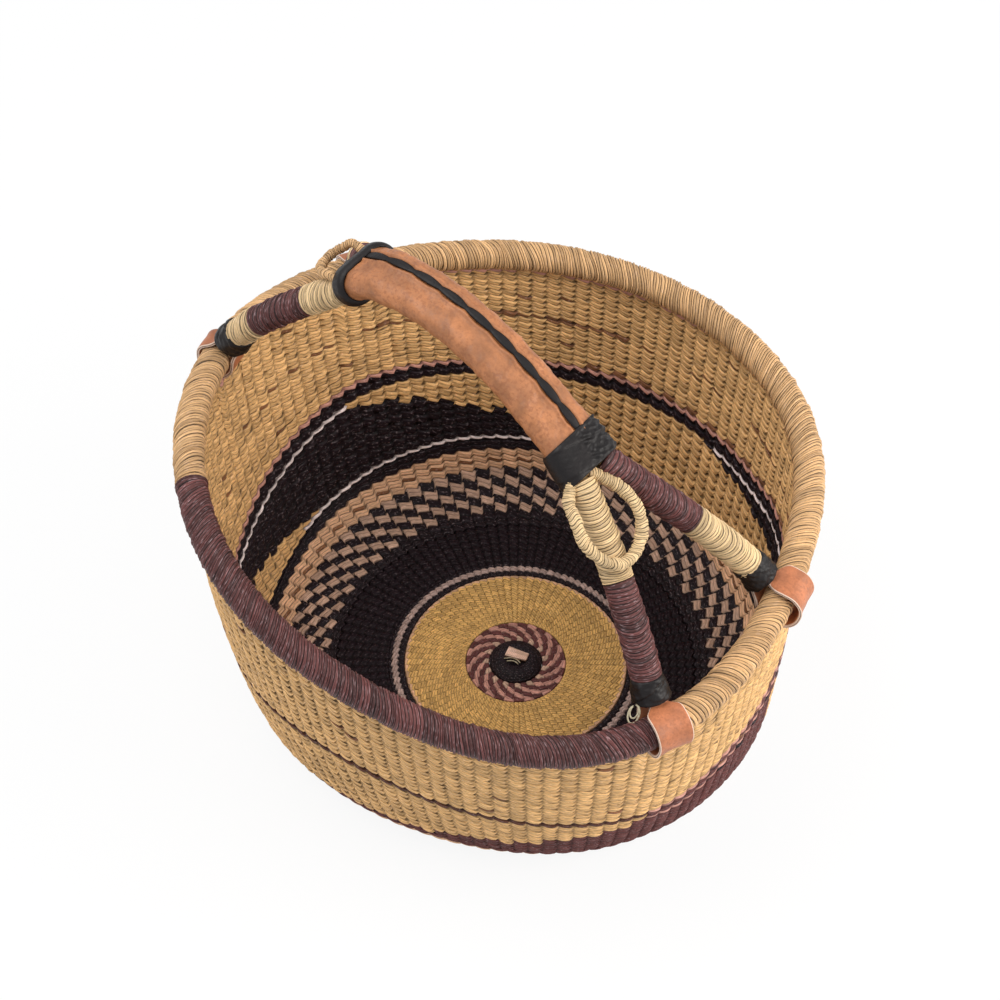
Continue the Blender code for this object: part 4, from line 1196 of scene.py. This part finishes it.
def straw_material(name, groove, width, rib, split, spread, painted_highlight, sheen):
    """Dyed straw, with the darkness and width of the painted shade in its grooves between strands, the
    darkness of the painted shade between ribs and split straws, the spread of its tones, its painted glints and its
    sheen."""
    material = bpy.data.materials.new(name)
    material.use_nodes = True
    tree = material.node_tree
    shader = tree.nodes["Principled BSDF"]
    group = new_node(tree, 'ShaderNodeGroup', node_tree=straw_look)
    for socket, depth in (("Groove Shade", groove), ("Width", width), ("Rib Shade", rib), ("Split", split),
                          ("Spread", spread), ("Painted Highlight", painted_highlight)):
        group.inputs[socket].default_value = depth
    tree.links.new(group.outputs["Colour"], shader.inputs["Base Color"])
    tree.links.new(group.outputs["Roughness"], shader.inputs["Roughness"])
    bump = new_node(tree, 'ShaderNodeBump')
    bump.inputs["Strength"].default_value = 0.6
    bump.inputs["Distance"].default_value = 0.0004
    tree.links.new(group.outputs["Height"], bump.inputs["Height"])
    tree.links.new(bump.outputs["Normal"], shader.inputs["Normal"])
    shader.inputs["Specular IOR Level"].default_value = sheen
    return material


def make_leather_look():
    """Node group of leather: mottled colour with brown freckles, white raw edges and the painted shade
    of the slits from the edge attribute, roughness, and the height of grain and wrinkles."""
    tree = bpy.data.node_groups.new("leather grain", 'ShaderNodeTree')
    for name, kind in (("Leather", 'Color'), ("Freckles", 'Float'), ("Gloss", 'Float')):
        tree.interface.new_socket(name, in_out='INPUT', socket_type='NodeSocket' + kind)
    for name, kind in (("Colour", 'Color'), ("Roughness", 'Float'), ("Height", 'Float')):
        tree.interface.new_socket(name, in_out='OUTPUT', socket_type='NodeSocket' + kind)
    start, out = new_node(tree, 'NodeGroupInput'), new_node(tree, 'NodeGroupOutput')
    place = new_node(tree, 'ShaderNodeTexCoord').outputs["Object"]
    grain = noise_on(tree, place, (650, 650, 650), 4.0)
    mottle = noise_on(tree, place, (90, 90, 90), 5.0)
    patches = noise_on(tree, place, (24, 24, 24), 2.0)
    tone = sum_of(tree, 'MULTIPLY', ranged(tree, mottle, 0.32, 0.68, 0.76, 1.26),
                  ranged(tree, patches, 0.3, 0.7, 0.92, 1.10))
    fine = ranged(tree, grain, 0.3, 0.7, 0.90, 1.08)
    leather = scaled(tree, start.outputs["Leather"], sum_of(tree, 'MULTIPLY', tone, fine))
    spots = ranged(tree, noise_on(tree, place, (430, 430, 430), 3.0), 0.50, 0.62, smooth=True)
    zone = ranged(tree, patches, 0.30, 0.52, 0.15, 1.0, smooth=True)
    freckled = sum_of(tree, 'MULTIPLY', sum_of(tree, 'MULTIPLY', spots, zone), start.outputs["Freckles"])
    leather = mixed(tree, freckled, leather, (0.22, 0.068, 0.024, 1))
    edge = new_node(tree, 'ShaderNodeAttribute', attribute_name="edge").outputs["Fac"]
    leather = mixed(tree, sum_of(tree, 'MULTIPLY', edge, 0.8, clamp=True), leather, (0.78, 0.62, 0.50, 1))
    # Painted shade: the slit where the strap's two layers meet is coloured near black where the edge attribute is
    # negative
    leather = mixed(tree, sum_of(tree, 'MULTIPLY', edge, -0.9, clamp=True), leather, (0.05, 0.02, 0.015, 1))
    tree.links.new(leather, out.inputs["Colour"])
    tree.links.new(sum_of(tree, 'ADD', start.outputs["Gloss"], ranged(tree, grain, 0.3, 0.7, -0.08, 0.1)),
                   out.inputs["Roughness"])
    tree.links.new(sum_of(tree, 'ADD', grain, sum_of(tree, 'MULTIPLY', mottle, 1.4)), out.inputs["Height"])
    return tree


def leather_material(name, colour, roughness, freckles, bump_height, sheen=0.5):
    """Leather of a colour, with its roughness, share of freckles, height of grain and sheen."""
    material = bpy.data.materials.new(name)
    material.use_nodes = True
    tree = material.node_tree
    shader = tree.nodes["Principled BSDF"]
    group = new_node(tree, 'ShaderNodeGroup', node_tree=leather_look)
    group.inputs["Leather"].default_value = (*colour, 1)
    group.inputs["Freckles"].default_value = freckles
    group.inputs["Gloss"].default_value = roughness
    tree.links.new(group.outputs["Colour"], shader.inputs["Base Color"])
    tree.links.new(group.outputs["Roughness"], shader.inputs["Roughness"])
    bump = new_node(tree, 'ShaderNodeBump')
    bump.inputs["Strength"].default_value = 0.6
    bump.inputs["Distance"].default_value = bump_height
    tree.links.new(group.outputs["Height"], bump.inputs["Height"])
    tree.links.new(bump.outputs["Normal"], shader.inputs["Normal"])
    shader.inputs["Specular IOR Level"].default_value = sheen
    return material


def grass_material():
    """Plain dry grass of the bundles inside the rolls: stalk streaks on Object coordinates."""
    material = bpy.data.materials.new("dry grass")
    material.use_nodes = True
    tree = material.node_tree
    shader = tree.nodes["Principled BSDF"]
    place = new_node(tree, 'ShaderNodeTexCoord').outputs["Object"]
    streak = noise_on(tree, place, (120, 900, 900), 4.0)
    colour = mixed(tree, ranged(tree, streak, 0.3, 0.7), (0.16, 0.10, 0.04, 1), (0.42, 0.30, 0.13, 1))
    tree.links.new(colour, shader.inputs["Base Color"])
    tree.links.new(ranged(tree, streak, 0.3, 0.7, 0.6, 0.85), shader.inputs["Roughness"])
    return material


straw_look = make_straw_look()
leather_look = make_leather_look()
# Inputs: darkness and width of the painted groove shade, painted shade between ribs and between split straws, tone
# spread, painted glints, sheen
woven_straw = straw_material("woven straw", 0.60, 0.16, 0.40, 0.42, 0.30, 0.11, 0.22)
fine_straw = straw_material("fine woven straw", 0.34, 0.20, 0.32, 0.50, 0.36, 0.10, 0.22)
ribbed_straw = straw_material("ribbed woven straw", 0.45, 0.16, 0.62, 0.40, 0.28, 0.05, 0.16)
wound_straw = straw_material("wound straw", 0.90, 0.26, 0.0, 0.40, 0.46, 0.24, 0.38)
pale_wound_straw = straw_material("pale wound straw", 0.82, 0.26, 0.0, 0.42, 0.26, 0.14, 0.28)
pale_straw = pale_straw_material()
grip_leather = leather_material("salmon tan leather", (0.385, 0.150, 0.058), 0.50, 0.45, 0.0004)
black_leather = leather_material("black leather", (0.007, 0.0045, 0.0045), 0.46, 0.0, 0.0004, 0.32)
strap_leather = leather_material("orange tan leather", (0.410, 0.138, 0.056), 0.50, 0.3, 0.0004)
dry_grass = grass_material()


def build_body():
    """Woven floor zones, check band and wall."""
    both = ("inside", "outside")
    weave("woven_swirl", swirl_ribs, at_knot, at_swirl, both, floor_dye, "pink_straw", "swirl_ring",
          columns=wide_rib_columns, slant=1.1, lean=-0.15, relief_share=0.7, material=fine_straw)
    weave("woven_gold_disc", disc_ribs, at_swirl, at_disc, both, floor_dye, "tan_straw", "gold_disc",
          lean=0.1, relief_share=0.52, material=fine_straw)
    weave("woven_line_ring", band_ribs, at_disc, at_line, both, floor_dye, "mauve_straw", "line_ring", slant=0.7)
    weave("woven_black_band", band_ribs, at_line, at_band, both, floor_dye, "black_straw", "black_band",
          lean=0.12, relief_share=0.75, material=ribbed_straw, joined=(False, True))
    weave("woven_check_band", band_ribs, at_band, at_wall, both, floor_dye, "mauve_straw", "check_band",
          lean=0.12, relief_share=0.75, joined=(True, False))
    for part, first, last in (("low", at_wall, at_top), ("high", at_top, at_rim)):
        weave("wall_inside_" + part, wall_ribs, first, last, ("inside", "core"), wall_dye, "tan_straw", "side_wall")
        weave("wall_outside_" + part, wall_ribs, first, last, ("core", "outside"), wall_dye, "tan_straw", "side_wall")


def build_rim():
    """Rim roll wound with tan and purple straw."""
    up = np.array([0, 0, 1.0])
    start, end = math.radians(purple_rim_start_deg), math.radians(purple_rim_end_deg)
    purple = rim_points(np.linspace(start, end, 400))
    tan = rim_points(np.linspace(end, start + 2 * math.pi, 800))
    wound_roll("wound_rim_purple", purple, up, rim_roll_radius, "maroon", "basket", "purple_straw",
               "rim_wrap_purple", lean_share=rim_lean_share)
    wound_roll("wound_rim_tan", tan, up, rim_roll_radius, "rim", "basket", "tan_straw", "rim_wrap_tan",
               lean_share=rim_lean_share)


def build_legs():
    """Straw wound on the legs, the black end wraps and the straps."""
    up = np.array([0.1, 0.9, 0.4])
    for name, leg in legs.items():
        path = leg_path(leg)
        length = run_lengths(path)[-1]
        start = leg_wrap_start
        for colour, share in wrap_end_shares[name]:
            end = share * (length - end_wrap_length)
            pale = "cream" in colour
            wound_roll(name + "_wound_" + colour, stretch(path, start, end), up, straw_roll_radius,
                       "cream" if pale else "maroon", "handle", ("cream" if pale else "purple") + "_straw",
                       name + "_" + colour + "_wrap", lean_share=leg_lean_share)
            start = end
        build_end_wrap(name, leg)
        build_strap(name, leg)


# Camera: turn about +Z of the view from the basket's right, height over the horizon, roll,
# distance, and the aim's shifts, all fitted to the photo
view_turn = math.radians(43.5)
view_elevation = 0.8717
view_roll = 0.0237
view_distance = 2.124
view_aim_shares = (0.0065, 0.0459)


def camera_axes():
    """Right, down and forward directions of the view in the part's frame."""
    cos_e, sin_e = math.cos(view_elevation), math.sin(view_elevation)
    right, up, forward = Vector((1, 0, 0)), Vector((0, sin_e, cos_e)), Vector((0, cos_e, -sin_e))
    down = -up
    cos_r, sin_r = math.cos(view_roll), math.sin(view_roll)
    right, down = right * cos_r - down * sin_r, right * sin_r + down * cos_r
    turn = Matrix.Rotation(view_turn, 3, 'Z')
    return turn @ right, turn @ down, turn @ forward


def make_camera():
    """Camera at the photo's angle."""
    right, down, forward = camera_axes()
    offset = (view_aim_shares[0] * view_distance, view_aim_shares[1] * view_distance, view_distance)
    place = Vector((0, 0, weave_wall)) - right * offset[0] - down * offset[1] - forward * offset[2]
    data = bpy.data.cameras.new("photo view")
    data.lens = 108
    data.sensor_width = 36
    data.shift_x = 0.0037
    data.shift_y = 0.0239
    camera = bpy.data.objects.new("photo view", data)
    turn = Matrix((right, -down, -forward)).transposed().to_4x4()
    camera.matrix_world = Matrix.Translation(place) @ turn
    bpy.context.scene.collection.objects.link(camera)
    bpy.context.scene.camera = camera


def plain_cord(name, path, radius, sides, material, body, slot, *nodes):
    """Smooth round cord along a path, closed at its ends."""
    forward = np.gradient(path, axis=0)
    forward /= np.linalg.norm(forward, axis=1, keepdims=True)
    side = np.cross(forward, np.array([0.13, 0.9, 0.41]))
    side /= np.linalg.norm(side, axis=1, keepdims=True)
    up = np.cross(side, forward)
    turn = np.arange(sides) / sides * 2 * math.pi
    points = path[None] + (side[None] * np.cos(turn)[:, None, None]
                           + up[None] * np.sin(turn)[:, None, None]) * radius
    mesh, turned = make_mesh(name, capped(points), closed_along=False)
    weld_poles(mesh)
    return add_piece(name, mesh, material, body, slot, *nodes)


def build_bundles():
    """The two grass bundles inside the handle, each through a rear leg, the grip and a
    front leg."""
    grip = grip_path()[0]
    for name, side in (("right_bundle", -1), ("left_bundle", 1)):
        rear, front = (leg_path(leg) for end in (-1, 1) for leg in legs.values()
                       if leg["end"] == end and leg["side"] == side)
        middle = grip + np.array(side_axis) * side * bundle_spread * 0.9
        path = spaced(np.concatenate([rear[::-1][2:-4], middle[4:-4], front[4:-2]]), 220)
        plain_cord("grass_" + name, path, 0.0072, 14, dry_grass, "handle", "grass", name)


def build_loose_straws():
    """Thin straw that stands out of the knot, and the leaf-like straw loop at the end of
    the front right leg."""
    right, down, forward = (np.array(axis) for axis in camera_axes())
    turn = np.linspace(0, 1, 25)
    crown = np.array([0, 0, weave_wall + knot_rise])
    flat_right, flat_down = right * 1.0, down * 1.0
    flat_right[2] = flat_down[2] = 0
    for number, (low, high, bulge) in enumerate((((-8.5, 1.5), (3.0, 6.5), 3.0), ((-6.5, 4.5), (1.5, 8.0), 2.0))):
        start, end = np.array(low) / 1000, np.array(high) / 1000
        across = np.array([end[1] - start[1], start[0] - end[0]])
        flat = start[None] + (end - start)[None] * turn[:, None] \
            + (across / np.linalg.norm(across))[None] * (np.sin(math.pi * turn) * bulge / 1000)[:, None]
        path = crown + flat_right * flat[:, :1] + flat_down * flat[:, 1:] \
            + np.array([0, 0, 0.0006])
        plain_cord("knot_straw_%d" % (number + 1), path, 0.0004, 6, pale_straw, "basket", "cream_straw")
    foot = np.array(foot_point(legs["front_right"]))
    leaf = 2 * math.pi * turn * 0.93
    for number, size in enumerate((1.0, 0.72)):
        across, along = np.sin(leaf) * 0.0036 * size, (1 - np.cos(leaf)) / 2 * 0.012 * size
        path = foot + right * (-0.0104) + down * 0.0032 + np.outer(across, right) \
            + np.outer(along, down * 0.96 - right * 0.2) - forward * 0.0075
        plain_cord("leaf_straw_%d" % (number + 1), path, 0.0006, 6, pale_straw, "basket", "cream_straw")


def make_stage():
    """Pale floor that the camera sees nearly white with a soft shadow, and a white room."""
    mesh = bpy.data.meshes.new("pale floor")
    mesh.from_pydata([(-3, -3, 0), (3, -3, 0), (3, 3, 0), (-3, 3, 0)], [], [(0, 1, 2, 3)])
    floor = bpy.data.objects.new("pale floor", mesh)
    bpy.context.scene.collection.objects.link(floor)
    material = bpy.data.materials.new("pale floor")
    material.use_nodes = True
    tree = material.node_tree
    paint = tree.nodes["Principled BSDF"]
    paint.inputs["Base Color"].default_value = (0.85, 0.85, 0.85, 1)
    paint.inputs["Roughness"].default_value = 0.9
    glow = new_node(tree, 'ShaderNodeEmission')
    glow.inputs["Color"].default_value = (1, 1, 1, 1)
    glow.inputs["Strength"].default_value = 1.0
    mix = new_node(tree, 'ShaderNodeMixShader')
    ray = new_node(tree, 'ShaderNodeLightPath')
    tree.links.new(sum_of(tree, 'MULTIPLY', ray.outputs["Is Camera Ray"], floor_white_share), mix.inputs["Fac"])
    tree.links.new(paint.outputs["BSDF"], mix.inputs[1])
    tree.links.new(glow.outputs["Emission"], mix.inputs[2])
    tree.links.new(mix.outputs["Shader"], tree.nodes["Material Output"].inputs["Surface"])
    mesh.materials.append(material)
    floor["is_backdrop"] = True
    world = bpy.data.worlds.new("soft room")
    bpy.context.scene.world = world
    world.use_nodes = True
    tree = world.node_tree
    room = tree.nodes["Background"]
    room.inputs["Color"].default_value = (0.93, 0.96, 1.0, 1)
    room.inputs["Strength"].default_value = room_strength
    white = new_node(tree, 'ShaderNodeBackground')
    white.inputs["Color"].default_value = (1, 1, 1, 1)
    white.inputs["Strength"].default_value = 1.0
    mix = new_node(tree, 'ShaderNodeMixShader')
    ray = new_node(tree, 'ShaderNodeLightPath')
    tree.links.new(ray.outputs["Is Camera Ray"], mix.inputs["Fac"])
    tree.links.new(room.outputs["Background"], mix.inputs[1])
    tree.links.new(white.outputs["Background"], mix.inputs[2])
    tree.links.new(mix.outputs["Shader"], tree.nodes["World Output"].inputs["Surface"])


def add_softbox(name, away, distance, size, strength, colour):
    """Square soft light that shines on the middle of the basket from a direction."""
    data = bpy.data.lights.new(name, 'AREA')
    data.size = size
    data.energy = strength
    data.color = colour
    light = bpy.data.objects.new(name, data)
    away = away.normalized()
    middle = Vector((0, 0, 0.1))
    light.matrix_world = Matrix.Translation(middle + away * distance) @ away.to_track_quat('Z', 'Y').to_matrix().to_4x4()
    bpy.context.scene.collection.objects.link(light)


def light_scene():
    """Soft daylight from the upper right."""
    right, down, forward = camera_axes()
    add_softbox("window", right * 1.0 + down * 0.15 - forward * 0.2 + Vector((0, 0, 0.55)), 1.6, 1.1,
                window_watts, (1, 0.96, 0.90))
    add_softbox("sky", -right * 0.45 + Vector((0, 0, 1.0)), 1.7, 1.2, sky_watts, (1, 0.98, 0.95))


floor_white_share = 0.90
room_strength = 0.72
window_watts = 20
sky_watts = 15

build_body()
build_rim()
build_legs()
build_grip()
build_petal("front_wound_petal", 1, front_petal_size, front_petal_shares, front_petal_radius, "cream", "front_petal",
            0.32)
build_petal("rear_wound_petal", -1, rear_petal_size, rear_petal_shares, rear_petal_radius, "rim", "rear_petal", 0.17)
build_knot()
build_bundles()
build_loose_straws()
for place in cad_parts["rim_core"].material_slots:
    place.material = dry_grass
make_stage()
make_camera()
light_scene()
bpy.context.scene.view_settings.view_transform = 'Standard'
size_boxes["at_finish"] = [list(corner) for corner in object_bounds()]
